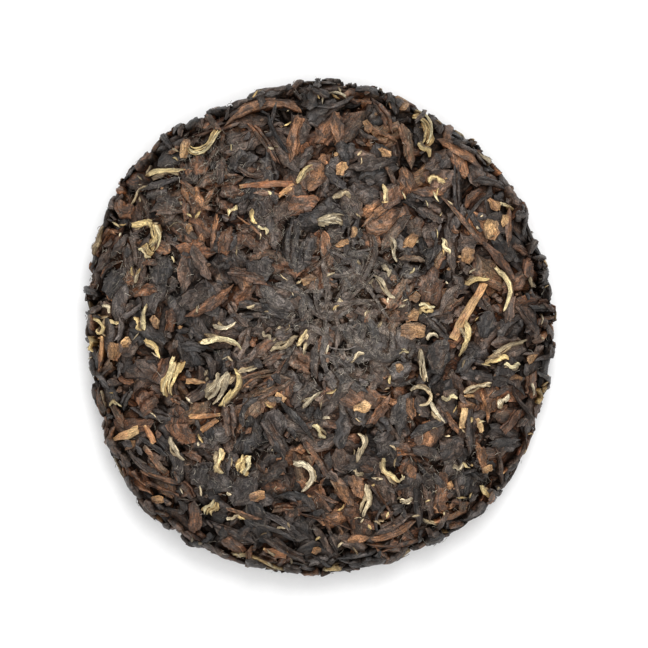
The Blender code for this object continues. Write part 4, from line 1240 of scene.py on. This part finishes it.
def lay_out(surface, heap, form, copies):
    """The vertices of each copy of a form, pressed into its place in the heap, with their painted shade."""
    count = len(copies)
    unit = form.points
    which = np.repeat(np.arange(count), len(unit))
    share = np.tile(unit[:, 0] + 0.5, count)
    lane = np.tile(unit[:, 1] * 2, count)
    up = np.tile(unit[:, 2], count)
    sizes = np.array([piece.size for piece, _ in copies])
    frames, paths, turns, flank = [], [], [], []
    for piece, _ in copies:
        centre, normal = surface.at(*piece.place)
        frames.append((centre, *surface_directions(normal)))
        flank.append(abs(normal[2]) < FLANK_SLOPE)
        path, heading = walk(piece.size[0], piece.headings)
        paths.append(path)
        turns.append(heading)
    frames, paths, turns = np.array(frames), np.array(paths), np.array(turns)
    stop = np.clip(share, 0, 1) * (STATIONS - 1)
    i = np.minimum(stop.astype(int), STATIONS - 2)
    u = stop - i
    path = paths[which, i] * (1 - u)[:, None] + paths[which, i + 1] * u[:, None]
    turn = turns[which, i] * (1 - u) + turns[which, i + 1] * u
    reach = lane * sizes[which, 1] / 2
    x = path[:, 0] - np.sin(turn) * reach
    y = path[:, 1] + np.cos(turn) * reach
    tangent = frames[which, 0] + frames[which, 1] * x[:, None] + frames[which, 2] * y[:, None]
    step, theta = surface.nearest(tangent)
    rests = np.array([rest for _, rest in copies])
    curls = np.array([piece.curl for piece, _ in copies])
    deep = FLANK_ROOT * np.array(flank)[which] * np.clip(1 - 4 * up, 0, 1)
    lift = (up * (1 + ROOT) - ROOT - deep) * sizes[which, 2]
    free = resting_height(rests, which, share, lane) + lift + curls[which] * (2 * share - 1) ** 2
    free = np.maximum(free, 0.0)
    limit = surface.press(step)
    pressed = limit * np.tanh(free / limit)
    points, _ = surface.at(step, theta, pressed - surface.body.core_depth)
    points[:, 2] = np.maximum(points[:, 2], OFF_THE_TABLE)
    spot = [heap.tree.find(point)[1] for point in surface.at(step, theta)[0]]
    around = limit * np.tanh(heap.around[spot] / limit)
    # painted shade: darker where a vertex lies below its neighbours and on each piece's low sides
    over_neighbours = np.clip(1.1 + (pressed - around) / (0.7 * MM), 0.2, 1)
    painted_shade_factor = over_neighbours * np.clip(0.08 + 1.9 * up, 0.12, 1)
    return points, painted_shade_factor, which, share


def shade_piece(kind, tint, share, across, which, count):
    """Varies each copy's tone along and across it, and paints shade and highlights on it."""
    draw = np.random.default_rng(count)
    fade, lean, glint = (draw.uniform(-1, 1, count)[which] for _ in range(3))
    if kind.endswith("buds"):
        far = np.where(fade > 0, share, 1 - share)
        gain = 1.08 - (0.1 + 0.5 * np.abs(fade)) * np.clip((far - 0.5) / 0.5, 0, 1) ** 1.3
        # painted shade on one side of the bud
        gain *= 1 - 0.5 * np.clip(0.4 + 0.6 * np.sign(lean) * across, 0, 1) ** 2
    elif kind == "twigs":
        # a twig's tone fades along it, and painted shade darkens one side
        gain = (1.1 - 0.45 * np.where(fade > 0, share, 1 - share)) * (1 - 0.35 * np.clip(-across, 0, 1))
    else:
        gain = (1 + 0.3 * fade * (2 * share - 1)) * (1 + 0.25 * lean * across)
        # painted highlight along one lit edge of some leaves, painted shade along the other edges and the
        # ends
        lit = (np.abs(glint) > 0.62) & (across * np.sign(glint) > 0.9)
        rim = (np.abs(across) > 0.9) | (share < 0.02) | (share > 0.98)
        gain *= np.where(lit, 1.9, np.where(rim, 0.62, 1.05))
    return tint * gain[:, None]


def tint_copies(surface, kind, form, copies, place, which, share):
    """The colour of every vertex: the piece's own, painted shade round the rim, pale at a twig's cut ends."""
    tint = np.array([piece.tint for piece, _ in copies])[which]
    # painted shade: the tint darkens towards the rim
    from_middle = np.hypot(place[:, 0], place[:, 1]) / surface.body.radius
    outward = np.clip((from_middle - RIM_START) / (1 - RIM_START), 0, 1)
    tint = tint * (1 - RIM_PAINTED_SHADE * outward)[:, None]
    across = np.tile(form.grain[:, 2], len(copies))
    tint = shade_piece(kind, tint, share, across, which, len(copies))
    if kind == "twigs":
        tint[(share < 0.02) | (share > 0.98)] = linear(*CUT_WOOD)
    return tint


def build_kind(surface, heap, forms, kind, material):
    """One joined mesh of every piece of a kind, with its grain, its tint and its painted hollow shade."""
    mine = [(piece, rest) for piece, rest in heap.laid if piece.kind == kind]
    points, tints, painted_shades, grains, corners, starts = [], [], [], [], [], []
    first_point, first_corner = 0, 0
    for name, form in forms.items():
        copies = [(piece, rest) for piece, rest in mine if piece.form == name]
        if not copies:
            continue
        place, painted_shade_factor, which, share = lay_out(surface, heap, form, copies)
        sizes = np.array([piece.size for piece, _ in copies])[which]
        shift = np.arange(len(copies))[which] * 7.31 + first_point * 0.013
        along = np.tile(form.grain[:, 0], len(copies)) * sizes[:, 0] / MM
        round_it = np.tile(form.grain[:, 1], len(copies)) * sizes[:, 1] * 2.0 / MM
        points.append(place)
        tints.append(tint_copies(surface, kind, form, copies, place, which, share))
        painted_shades.append(painted_shade_factor)
        grains.append(np.stack([along + shift, round_it + shift * 0.37], -1))
        size = len(form.points)
        corner = np.concatenate([np.array(face) for face in form.faces])
        start = np.cumsum([0] + [len(face) for face in form.faces[:-1]])
        copy = np.arange(len(copies))[:, None]
        corners.append((corner + copy * size + first_point).ravel())
        starts.append((start + copy * len(corner) + first_corner).ravel())
        first_point += size * len(copies)
        first_corner += len(corner) * len(copies)
    mesh = mesh_from_arrays(kind, np.concatenate(points), np.concatenate(corners), np.concatenate(starts))
    tints = np.concatenate([np.concatenate(tints), np.ones((first_point, 1))], axis=1)
    mesh.color_attributes.new("tint", "FLOAT_COLOR", "POINT").data.foreach_set("color", tints.ravel())
    mesh.attributes.new("painted_shade_factor", "FLOAT", "POINT").data.foreach_set("value", np.concatenate(painted_shades))
    corner_vertex = np.empty(len(mesh.loops), int)
    mesh.loops.foreach_get("vertex_index", corner_vertex)
    mesh.uv_layers.new(name="grain").data.foreach_set("uv", np.concatenate(grains)[corner_vertex].ravel())
    mesh.materials.append(material)
    obj = bpy.data.objects.new(kind, mesh)
    bpy.context.scene.collection.objects.link(obj)
    deselect_all()
    obj.select_set(True)
    bpy.context.view_layer.objects.active = obj
    bpy.ops.object.shade_smooth_by_angle(angle=CREASE_ANGLE)
    return obj


def make_core(surface, material):
    """The dark packed inside of the cake, just under the first leaves."""
    deselect_all()
    bpy.ops.mesh.primitive_cube_add(size=2.0)
    core = bpy.context.active_object
    core.name = "packed_core"
    bpy.ops.object.mode_set(mode="EDIT")
    bpy.ops.mesh.select_all(action="SELECT")
    bpy.ops.mesh.subdivide(number_cuts=CORE_CUTS)
    bpy.ops.object.mode_set(mode="OBJECT")
    mesh = core.data
    cube = np.empty(len(mesh.vertices) * 3)
    mesh.vertices.foreach_get("co", cube)
    ball = np.tan(cube.reshape(-1, 3) * math.pi / 4)
    ball /= np.linalg.norm(ball, axis=1)[:, None]
    step = np.interp((1.0 - ball[:, 2]) / 2, surface.area_share, np.arange(PROFILE_STEPS))
    theta = np.arctan2(ball[:, 1], ball[:, 0])
    points, _ = surface.at(step, theta, -surface.body.core_depth)
    mesh.vertices.foreach_set("co", points.ravel())
    mesh.update()
    texture = bpy.data.textures.new("packed", "CLOUDS")
    texture.noise_scale = 2.2 * MM
    lumps = core.modifiers.new("lumps", "DISPLACE")
    lumps.texture = texture
    lumps.texture_coords = "LOCAL"
    lumps.strength = 0.9 * MM
    lumps.mid_level = 0.3
    finish_modifiers(core)
    bpy.data.textures.remove(texture)
    mesh.materials.append(material)
    mesh.shade_smooth()
    return core


# ----------------------------------------------------------
# Materials
# ----------------------------------------------------------


class Nodes:
    """A short way to write a material's node tree."""

    def __init__(self, name):
        self.material = bpy.data.materials.new(name)
        self.material.use_nodes = True
        self.tree = self.material.node_tree
        self.shader = self.tree.nodes["Principled BSDF"]

    def add(self, kind, settings=None, **inputs):
        """Adds a node with its properties, and sets or links its inputs by name, or by number as in _0."""
        node = self.tree.nodes.new("ShaderNode" + kind)
        for key, value in (settings or {}).items():
            setattr(node, key, value)
        for key, value in inputs.items():
            self.feed(node.inputs[int(key[1:]) if key[0] == "_" else key.replace("_", " ")], value)
        return node

    def feed(self, socket, value):
        """Links a socket to another, or sets its value."""
        if isinstance(value, bpy.types.NodeSocket):
            self.tree.links.new(value, socket)
        elif isinstance(value, bpy.types.Node):
            self.tree.links.new(value.outputs[0], socket)
        else:
            socket.default_value = value

    def noise(self, vector, scale, detail=4.0, rough=0.6, distort=0.0):
        inputs = {"Scale": scale, "Detail": detail, "Roughness": rough, "Distortion": distort}
        return self.add("TexNoise", Vector=vector, **inputs).outputs["Fac"]

    def ramp(self, value, low, high, start=0.0, end=1.0):
        node = self.add("MapRange", {"clamp": True}, Value=value)
        for key, number in (("From Min", low), ("From Max", high), ("To Min", start), ("To Max", end)):
            node.inputs[key].default_value = number
        return node.outputs[0]

    def math(self, operation, a, b=0.0):
        return self.add("Math", {"operation": operation}, _0=a, _1=b).outputs[0]

    def vector(self, operation, *values):
        """Vector mathematics; the number that scales a vector goes in the fourth input."""
        slots = (0, 3) if operation == "SCALE" else range(len(values))
        inputs = {f"_{slot}": value for slot, value in zip(slots, values)}
        return self.add("VectorMath", {"operation": operation}, **inputs)

    def product(self, *factors):
        """All the factors multiplied together."""
        whole = factors[0]
        for factor in factors[1:]:
            whole = self.math("MULTIPLY", whole, factor)
        return whole

    def valley(self, value, width):
        """One along the thin lines where a noise crosses its middle, and nothing beside them."""
        return self.ramp(self.math("ABSOLUTE", self.math("SUBTRACT", value, 0.5)), 0.0, width, 1.0, 0.0)

    def cells(self, vector, scale):
        """The distance to the nearest edge of a cell pattern."""
        node = self.add("TexVoronoi", {"feature": "DISTANCE_TO_EDGE"}, Vector=vector, Scale=scale)
        return node.outputs["Distance"]

    def mix(self, factor, a, b, blend="MIX"):
        node = self.add("Mix", {"data_type": "RGBA", "blend_type": blend}, _0=factor, _6=a, _7=b)
        return node.outputs[2]


def colour(red, green, blue):
    return (*linear(red, green, blue), 1.0)


# A kind's finish: its material's name, the second brown of its patches and how strongly they show, the
# contrast of its folds (partly painted light), how fine its grain is, how dark the painted shade in its
# creases is, how dusty and how rough it is, how deep its relief in millimetres, and how gritty it is.
Finish = namedtuple(
    "Finish",
    "material patch patches contrast fine crease dust rough relief grit",
    defaults=(0.5, 0.52, 1.0, 0.55, 0.5, 0.5, 0.65, 1.0),
)
FINISHES = {
    "charcoal_leaves": Finish("charcoal_leaf", (92, 66, 48)),
    "slate_leaves": Finish("slate_leaf", (40, 36, 34), rough=0.46),
    "jet_leaves": Finish("jet_leaf", (62, 48, 38), patches=0.4, dust=0.35, rough=0.42),
    "umber_leaves": Finish("umber_leaf", (128, 82, 50), patches=0.6),
    "plum_leaves": Finish("plum_leaf", (48, 38, 32), patches=0.7),
    "russet_leaves": Finish("russet_leaf", (60, 44, 34), 0.8, 0.5, crease=0.35, dust=0.35, rough=0.54),
    "tan_flakes": Finish("tan_flake", (124, 82, 50), 0.6, 0.45, crease=0.15, dust=0.3, rough=0.58),
    "golden_buds": Finish("golden_bud", (150, 116, 74), 0.4, 0.3, 2.2, 0.5, 0.0, 0.55, 0.3, 0.3),
    "silver_buds": Finish("silver_bud", (98, 79, 58), 0.55, 0.4, 2.4, 0.5, 0.05, 0.55, 0.3, 0.35),
    "twigs": Finish("twig_bark", (140, 84, 50), 0.5, 0.3, 2.0, 0.3, 0.05, 0.54, 0.25, 0.4),
    "crumbs": Finish("crumb", (46, 36, 28), patches=0.6, contrast=0.5, dust=0.3, rough=0.62),
}
MIDDLE_OF_TOP = (6 * MM, 0.0, 17.5 * MM)  # where the press left the most dust

Patterns = namedtuple("Patterns", "place folds veins fibres areas splits specks clouds")


def leaf_patterns(n, fine):
    """The patterns that a leaf's colour and relief share, along its grain and through the whole heap."""
    grain = n.add("UVMap", {"uv_map": "grain"}).outputs[0]
    place = n.add("TexCoord").outputs["Object"]
    long = fine * (0.6 if fine > 1.0 else 1.0)

    def stretched(lengthwise, crosswise):
        return n.add("Mapping", Vector=grain, Scale=(lengthwise, crosswise, 1.0)).outputs[0]

    folds = n.noise(stretched(0.3 * long, 0.55 * fine), 1.0, 4.0, 0.5, 0.7)
    veins = n.noise(stretched(0.45 * long, 2.1 * fine), 1.0, 3.0, 0.6, 0.6)
    fibres = n.noise(stretched(0.35 * fine, 4.0), 1.0, 3.0, 0.65, 0.5)
    areas = n.noise(stretched(0.22, 0.4), 1.0, 4.0, 0.6, 0.8)
    winding = n.add("CombineXYZ", X=areas, Y=folds).outputs[0]
    seams = n.cells(n.vector("MULTIPLY_ADD", winding, (1.6, 1.6, 0.0), stretched(0.34, 0.55)).outputs[0], 1.0)
    splits = n.ramp(seams, 0.0, 0.06, 1.0, 0.0)
    specks = n.noise(place, 3100.0, 3.0, 0.75)
    clouds = n.noise(place, 420.0, 5.0, 0.62)
    return Patterns(place, folds, veins, fibres, areas, splits, specks, clouds)


def leaf_body(n, at, crease_lines, finish):
    """Tint, patches of another brown and grit, folds partly painted light, creases painted shade."""
    grit, crease, contrast = finish.grit, finish.crease, finish.contrast
    tint = n.add("VertexColor", {"layer_name": "tint"}).outputs[0]
    patches = n.math("MULTIPLY", n.ramp(at.areas, 0.47, 0.57), finish.patches)
    body = n.mix(patches, tint, colour(*finish.patch))
    if finish.fine == 1.0:
        blotches = n.ramp(n.noise(at.place, 300.0, 4.0, 0.6), 0.47, 0.62, 0.0, 0.5)
        body = n.mix(blotches, body, colour(74, 62, 55))
    gain = n.product(
        # partly the leaf's own streaks, partly painted light: lighter on the folds' ridges, darker in their
        # troughs
        n.ramp(at.folds, 0.36, 0.64, 1.0 - 0.6 * contrast, 1.0 + 0.8 * contrast),
        n.ramp(at.specks, 0.38, 0.62, 1.0 - 0.46 * grit, 1.0 + 0.52 * grit),
        n.ramp(at.clouds, 0.36, 0.62, 1.0 - 0.24 * grit, 1.0 + 0.2 * grit),
        n.ramp(n.noise(at.place, 120.0, 2.0, 0.5), 0.36, 0.64, 0.66, 1.3),
        # painted shade in the creases and along the veins
        n.ramp(crease_lines, 0.0, 1.0, 1.0, 1.0 - crease),
        n.ramp(n.valley(at.veins, 0.04), 0.0, 1.0, 1.0, 1.0 - 0.3 * crease),
        n.ramp(at.fibres, 0.38, 0.6, 0.55, 1.4),
        # painted shade in the splits between strands
        n.ramp(at.splits, 0.0, 1.0, 1.0, 1.0 - crease),
    )
    return n.vector("SCALE", body, gain).outputs[0]


def dusted(n, at, body, dust):
    """The colour under pale worn veins, threads of down and specks of dust, thickest in the middle."""
    worn = n.math("MULTIPLY", n.ramp(at.veins, 0.57, 0.66), n.ramp(at.areas, 0.42, 0.54))
    body = n.mix(n.math("MULTIPLY", worn, 0.45 * dust), body, colour(150, 136, 116))
    winding = n.add("CombineXYZ", X=n.noise(at.place, 900.0, 2.0, 0.5), Y=at.specks).outputs[0]
    threads = n.cells(n.vector("MULTIPLY_ADD", winding, (0.0022, 0.0022, 0.0), at.place).outputs[0], 1100.0)
    down = n.math("MULTIPLY", n.ramp(threads, 0.0, 0.06, 1.0, 0.0), n.ramp(at.clouds, 0.47, 0.58))
    grains = n.math("MULTIPLY", n.ramp(at.specks, 0.49, 0.59), n.ramp(at.clouds, 0.48, 0.62, 0.0, 0.8))
    grey = n.math("MAXIMUM", n.math("MULTIPLY", down, 0.5), grains)
    apart = n.vector("DISTANCE", at.place, MIDDLE_OF_TOP).outputs["Value"]
    body = n.mix(n.product(grey, n.ramp(apart, 0.006, 0.03, 1.8, 0.3), dust), body, colour(172, 160, 145))
    veil = n.math("MULTIPLY", n.ramp(apart, 0.002, 0.024, 0.24, 0.0), dust)
    return n.mix(veil, body, colour(138, 127, 118))


def leaf_material(finish):
    """Dried leaf, bud or bark: folds and creases along the grain, dusty on top, painted shade in the hollows.
    """
    n = Nodes(finish.material)
    at = leaf_patterns(n, finish.fine)
    # thin lines along the folds' troughs, darkened as painted shade and sunk in the relief
    crease_lines = n.valley(at.folds, 0.022)
    body = dusted(n, at, leaf_body(n, at, crease_lines, finish), finish.dust)
    # painted shade: darker, warmer and less glossy where a piece lies low among its neighbours
    painted_hollow_shade = n.ramp(n.add("Attribute", {"attribute_name": "painted_shade_factor"}).outputs["Fac"], 0.1, 0.9, 0.08, 1.0)
    body = n.mix(1.0, body, n.mix(painted_hollow_shade, (1.0, 0.66, 0.42, 1.0), (1.0, 1.0, 1.0, 1.0)), "MULTIPLY")
    n.feed(n.shader.inputs["Base Color"], n.vector("SCALE", body, painted_hollow_shade).outputs[0])
    rough = n.ramp(at.veins, 0.38, 0.62, finish.rough + 0.1, finish.rough - 0.08)
    n.feed(n.shader.inputs["Roughness"], rough)
    gloss = n.math("MULTIPLY", n.ramp(at.folds, 0.4, 0.65, 0.3, 0.7), painted_hollow_shade)
    n.feed(n.shader.inputs["Specular IOR Level"], gloss)
    height = n.math("ADD", n.math("MULTIPLY", at.folds, 0.75), n.math("MULTIPLY", at.veins, 0.15))
    height = n.math("ADD", height, n.math("MULTIPLY", at.specks, 0.12 * finish.grit))
    height = n.math("SUBTRACT", height, n.math("MULTIPLY", n.math("MAXIMUM", crease_lines, at.splits), 0.12))
    bump = n.add("Bump", Strength=1.0, Distance=finish.relief * MM, Height=height)
    n.feed(n.shader.inputs["Normal"], bump.outputs[0])
    return n.material


def hair_material():
    """Pale silky down, a little darker here and there."""
    n = Nodes("down_hair")
    place = n.add("TexCoord").outputs["Object"]
    clouds = n.noise(place, 900.0, 3.0, 0.6)
    tint = n.add("VertexColor", {"layer_name": "tint"}).outputs[0]
    body = n.vector("SCALE", tint, n.ramp(clouds, 0.35, 0.65, 0.4, 1.2))
    n.feed(n.shader.inputs["Base Color"], body)
    n.shader.inputs["Roughness"].default_value = 0.5
    n.shader.inputs["Specular IOR Level"].default_value = 0.3
    return n.material


def core_material():
    """The dusty inside seen in the gaps between leaves: dark packed leaf, darker still as painted shade."""
    n = Nodes("packed_core")
    place = n.add("TexCoord").outputs["Object"]
    lumps = n.noise(place, 700.0, detail=5.0, rough=0.7)
    # near black: dark as packed leaves, and darker still as painted shade of the gaps
    body = n.mix(n.ramp(lumps, 0.35, 0.7), colour(17, 12, 8), colour(42, 30, 21))
    n.feed(n.shader.inputs["Base Color"], body)
    n.shader.inputs["Roughness"].default_value = 0.8
    bump = n.add("Bump", Strength=0.8, Distance=0.3 * MM, Height=lumps)
    n.feed(n.shader.inputs["Normal"], bump.outputs[0])
    return n.material


def floor_material():
    """Plain white studio card with the faintest tooth."""
    n = Nodes("studio_card")
    place = n.add("TexCoord").outputs["Object"]
    tooth = n.noise(place, 900.0, detail=3.0)
    card = n.mix(n.ramp(tooth, 0.3, 0.7), (0.93, 0.93, 0.93, 1), (0.95, 0.95, 0.95, 1))
    n.feed(n.shader.inputs["Base Color"], card)
    n.shader.inputs["Roughness"].default_value = 0.9
    n.shader.inputs["Specular IOR Level"].default_value = 0.1
    return n.material


# ----------------------------------------------------------
# The shared plan, worked out once
# ----------------------------------------------------------

PLAN = {}


def the_plan(context):
    """The pressed surface, the heap and the forms, made on first use."""
    if not PLAN:
        scene = context.scene
        surface = PressedSurface(scene.tea_cake_body)
        forms = model_forms(scene.tea_cake_heap.seed)
        heap = plan_heap(surface, forms, scene)
        heap.around = heap.envelope()
        PLAN.update(surface=surface, heap=heap, forms=forms)
    return PLAN["surface"], PLAN["heap"], PLAN["forms"]


def add_piece(obj):
    """Puts a finished piece on the cake: it rides on the cake's body and stands for its solid."""
    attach(obj, BODY)
    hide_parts(NODE)


def lay_kind(context, kind):
    surface, heap, forms = the_plan(context)
    material = hair_material() if kind == "down_hairs" else leaf_material(FINISHES[kind])
    add_piece(build_kind(surface, heap, forms, kind, material))
    return {"FINISHED"}


class TEACAKE_OT_core(bpy.types.Operator):
    """Build the dark packed inside of the cake"""

    bl_idname = "tea_cake.packed_core"
    bl_label = "Packed Core"
    bl_options = {"REGISTER", "UNDO"}

    def execute(self, context):
        surface, _, _ = the_plan(context)
        add_piece(make_core(surface, core_material()))
        return {"FINISHED"}


class TEACAKE_OT_charcoal(bpy.types.Operator):
    """Lay the charcoal-brown leaves that make most of the cake"""

    bl_idname = "tea_cake.charcoal_leaves"
    bl_label = "Charcoal Leaves"
    bl_options = {"REGISTER", "UNDO"}

    def execute(self, context):
        return lay_kind(context, "charcoal_leaves")


class TEACAKE_OT_slate(bpy.types.Operator):
    """Lay the slate-black leaves"""

    bl_idname = "tea_cake.slate_leaves"
    bl_label = "Slate Leaves"
    bl_options = {"REGISTER", "UNDO"}

    def execute(self, context):
        return lay_kind(context, "slate_leaves")


class TEACAKE_OT_jet(bpy.types.Operator):
    """Lay the darkest leaves"""

    bl_idname = "tea_cake.jet_leaves"
    bl_label = "Jet Leaves"
    bl_options = {"REGISTER", "UNDO"}

    def execute(self, context):
        return lay_kind(context, "jet_leaves")


class TEACAKE_OT_umber(bpy.types.Operator):
    """Lay the brown-black leaves"""

    bl_idname = "tea_cake.umber_leaves"
    bl_label = "Umber Leaves"
    bl_options = {"REGISTER", "UNDO"}

    def execute(self, context):
        return lay_kind(context, "umber_leaves")


class TEACAKE_OT_plum(bpy.types.Operator):
    """Lay the purple-brown leaves"""

    bl_idname = "tea_cake.plum_leaves"
    bl_label = "Plum Leaves"
    bl_options = {"REGISTER", "UNDO"}

    def execute(self, context):
        return lay_kind(context, "plum_leaves")


class TEACAKE_OT_russet(bpy.types.Operator):
    """Lay the red-brown leaves"""

    bl_idname = "tea_cake.russet_leaves"
    bl_label = "Russet Leaves"
    bl_options = {"REGISTER", "UNDO"}

    def execute(self, context):
        return lay_kind(context, "russet_leaves")


class TEACAKE_OT_tan(bpy.types.Operator):
    """Lay the small tan flakes"""

    bl_idname = "tea_cake.tan_flakes"
    bl_label = "Tan Flakes"
    bl_options = {"REGISTER", "UNDO"}

    def execute(self, context):
        return lay_kind(context, "tan_flakes")


class TEACAKE_OT_golden(bpy.types.Operator):
    """Lay the golden buds"""

    bl_idname = "tea_cake.golden_buds"
    bl_label = "Golden Buds"
    bl_options = {"REGISTER", "UNDO"}

    def execute(self, context):
        return lay_kind(context, "golden_buds")


class TEACAKE_OT_silver(bpy.types.Operator):
    """Lay the silver-olive buds"""

    bl_idname = "tea_cake.silver_buds"
    bl_label = "Silver Buds"
    bl_options = {"REGISTER", "UNDO"}

    def execute(self, context):
        return lay_kind(context, "silver_buds")


class TEACAKE_OT_twigs(bpy.types.Operator):
    """Lay the twigs with their pale cut ends"""

    bl_idname = "tea_cake.twigs"
    bl_label = "Twigs"
    bl_options = {"REGISTER", "UNDO"}

    def execute(self, context):
        return lay_kind(context, "twigs")


class TEACAKE_OT_crumbs(bpy.types.Operator):
    """Lay the broken crumbs between the leaves"""

    bl_idname = "tea_cake.crumbs"
    bl_label = "Crumbs"
    bl_options = {"REGISTER", "UNDO"}

    def execute(self, context):
        return lay_kind(context, "crumbs")


class TEACAKE_OT_hairs(bpy.types.Operator):
    """Lay the fine pale hairs of down"""

    bl_idname = "tea_cake.down_hairs"
    bl_label = "Down Hairs"
    bl_options = {"REGISTER", "UNDO"}

    def execute(self, context):
        return lay_kind(context, "down_hairs")


FLOOR_SIZE = 6.0
SENSOR_WIDTH = 36.0  # millimetres


class TEACAKE_OT_studio(bpy.types.Operator):
    """Set the white card, the lights and the camera straight above"""

    bl_idname = "tea_cake.studio"
    bl_label = "Studio"
    bl_options = {"REGISTER", "UNDO"}

    def execute(self, context):
        scene = context.scene
        studio = scene.tea_cake_studio
        deselect_all()
        bpy.ops.mesh.primitive_plane_add(size=FLOOR_SIZE, location=(0.0, 0.0, 0.0))
        floor = context.active_object
        floor.name = "studio_floor"
        floor.data.materials.append(floor_material())
        scene.world = scene.world or bpy.data.worlds.new("World")
        scene.world.use_nodes = True
        background = scene.world.node_tree.nodes["Background"]
        background.inputs["Color"].default_value = (*studio.tent, 1.0)
        background.inputs["Strength"].default_value = studio.sky
        self.lamp("key_light", (0.19, 0.8, 1.32), 0.68, studio.key_power)
        self.lamp("fill_light", (0.05, -0.1, 0.9), 0.7, studio.fill_power)
        across = PHOTO_PIXELS * studio.pixel
        cake_x, cake_y = CAKE_MIDDLE_PIXEL
        shift_x = (PHOTO_PIXELS / 2 - cake_x) * studio.pixel
        shift_y = (cake_y - PHOTO_PIXELS / 2) * studio.pixel
        height = studio.camera_height + scene.tea_cake_body.girth_height
        bpy.ops.object.camera_add(location=(shift_x, shift_y, height), rotation=(0.0, 0.0, 0.0))
        camera = context.active_object
        camera.name = "studio_camera"
        camera.data.sensor_width = SENSOR_WIDTH
        camera.data.lens = SENSOR_WIDTH * studio.camera_height / across
        camera.data.clip_start = 0.01
        scene.camera = camera
        scene.view_settings.view_transform = "Standard"
        return {"FINISHED"}

    def lamp(self, name, place, size, power):
        """A square soft light aimed at the cake."""
        bpy.ops.object.light_add(type="AREA", location=place)
        lamp = bpy.context.active_object
        lamp.name = name
        lamp.data.shape = "SQUARE"
        lamp.data.size = size
        lamp.data.energy = power
        lamp.rotation_euler = (-Vector(place)).to_track_quat("-Z", "Y").to_euler()


PIECE_OPERATORS = (
    TEACAKE_OT_core,
    TEACAKE_OT_charcoal,
    TEACAKE_OT_slate,
    TEACAKE_OT_jet,
    TEACAKE_OT_umber,
    TEACAKE_OT_plum,
    TEACAKE_OT_russet,
    TEACAKE_OT_tan,
    TEACAKE_OT_golden,
    TEACAKE_OT_silver,
    TEACAKE_OT_twigs,
    TEACAKE_OT_crumbs,
    TEACAKE_OT_hairs,
)


class TEACAKE_PT_panel(bpy.types.Panel):
    """The tea cake's steps and sizes"""

    bl_label = "Tea Cake"
    bl_idname = "TEACAKE_PT_panel"
    bl_space_type = "VIEW_3D"
    bl_region_type = "UI"
    bl_category = "Tea Cake"

    def draw(self, context):
        layout = self.layout
        for group_name in SETTINGS:
            group = getattr(context.scene, group_name)
            box = layout.box()
            for name in group.bl_rna.properties.keys():
                if name not in ("rna_type", "name"):
                    box.prop(group, name)
        for operator in (*PIECE_OPERATORS, TEACAKE_OT_studio):
            layout.operator(operator.bl_idname)


SETTINGS = {
    "tea_cake_body": CakeBodySettings,
    "tea_cake_heap": LeafHeapSettings,
    "tea_cake_colours": LeafColourSettings,
    "tea_cake_studio": StudioSettings,
}
CLASSES = (*SETTINGS.values(), *PIECE_OPERATORS, TEACAKE_OT_studio, TEACAKE_PT_panel)


def register():
    for cls in CLASSES:
        bpy.utils.register_class(cls)
    for name, group in SETTINGS.items():
        setattr(bpy.types.Scene, name, PointerProperty(type=group))


def unregister():
    for name in SETTINGS:
        delattr(bpy.types.Scene, name)
    for cls in reversed(CLASSES):
        bpy.utils.unregister_class(cls)


def main():
    register()
    for operator in PIECE_OPERATORS:
        group, name = operator.bl_idname.split(".")
        getattr(getattr(bpy.ops, group), name)()
    bpy.ops.tea_cake.studio()


if __name__ == "__main__":
    main()
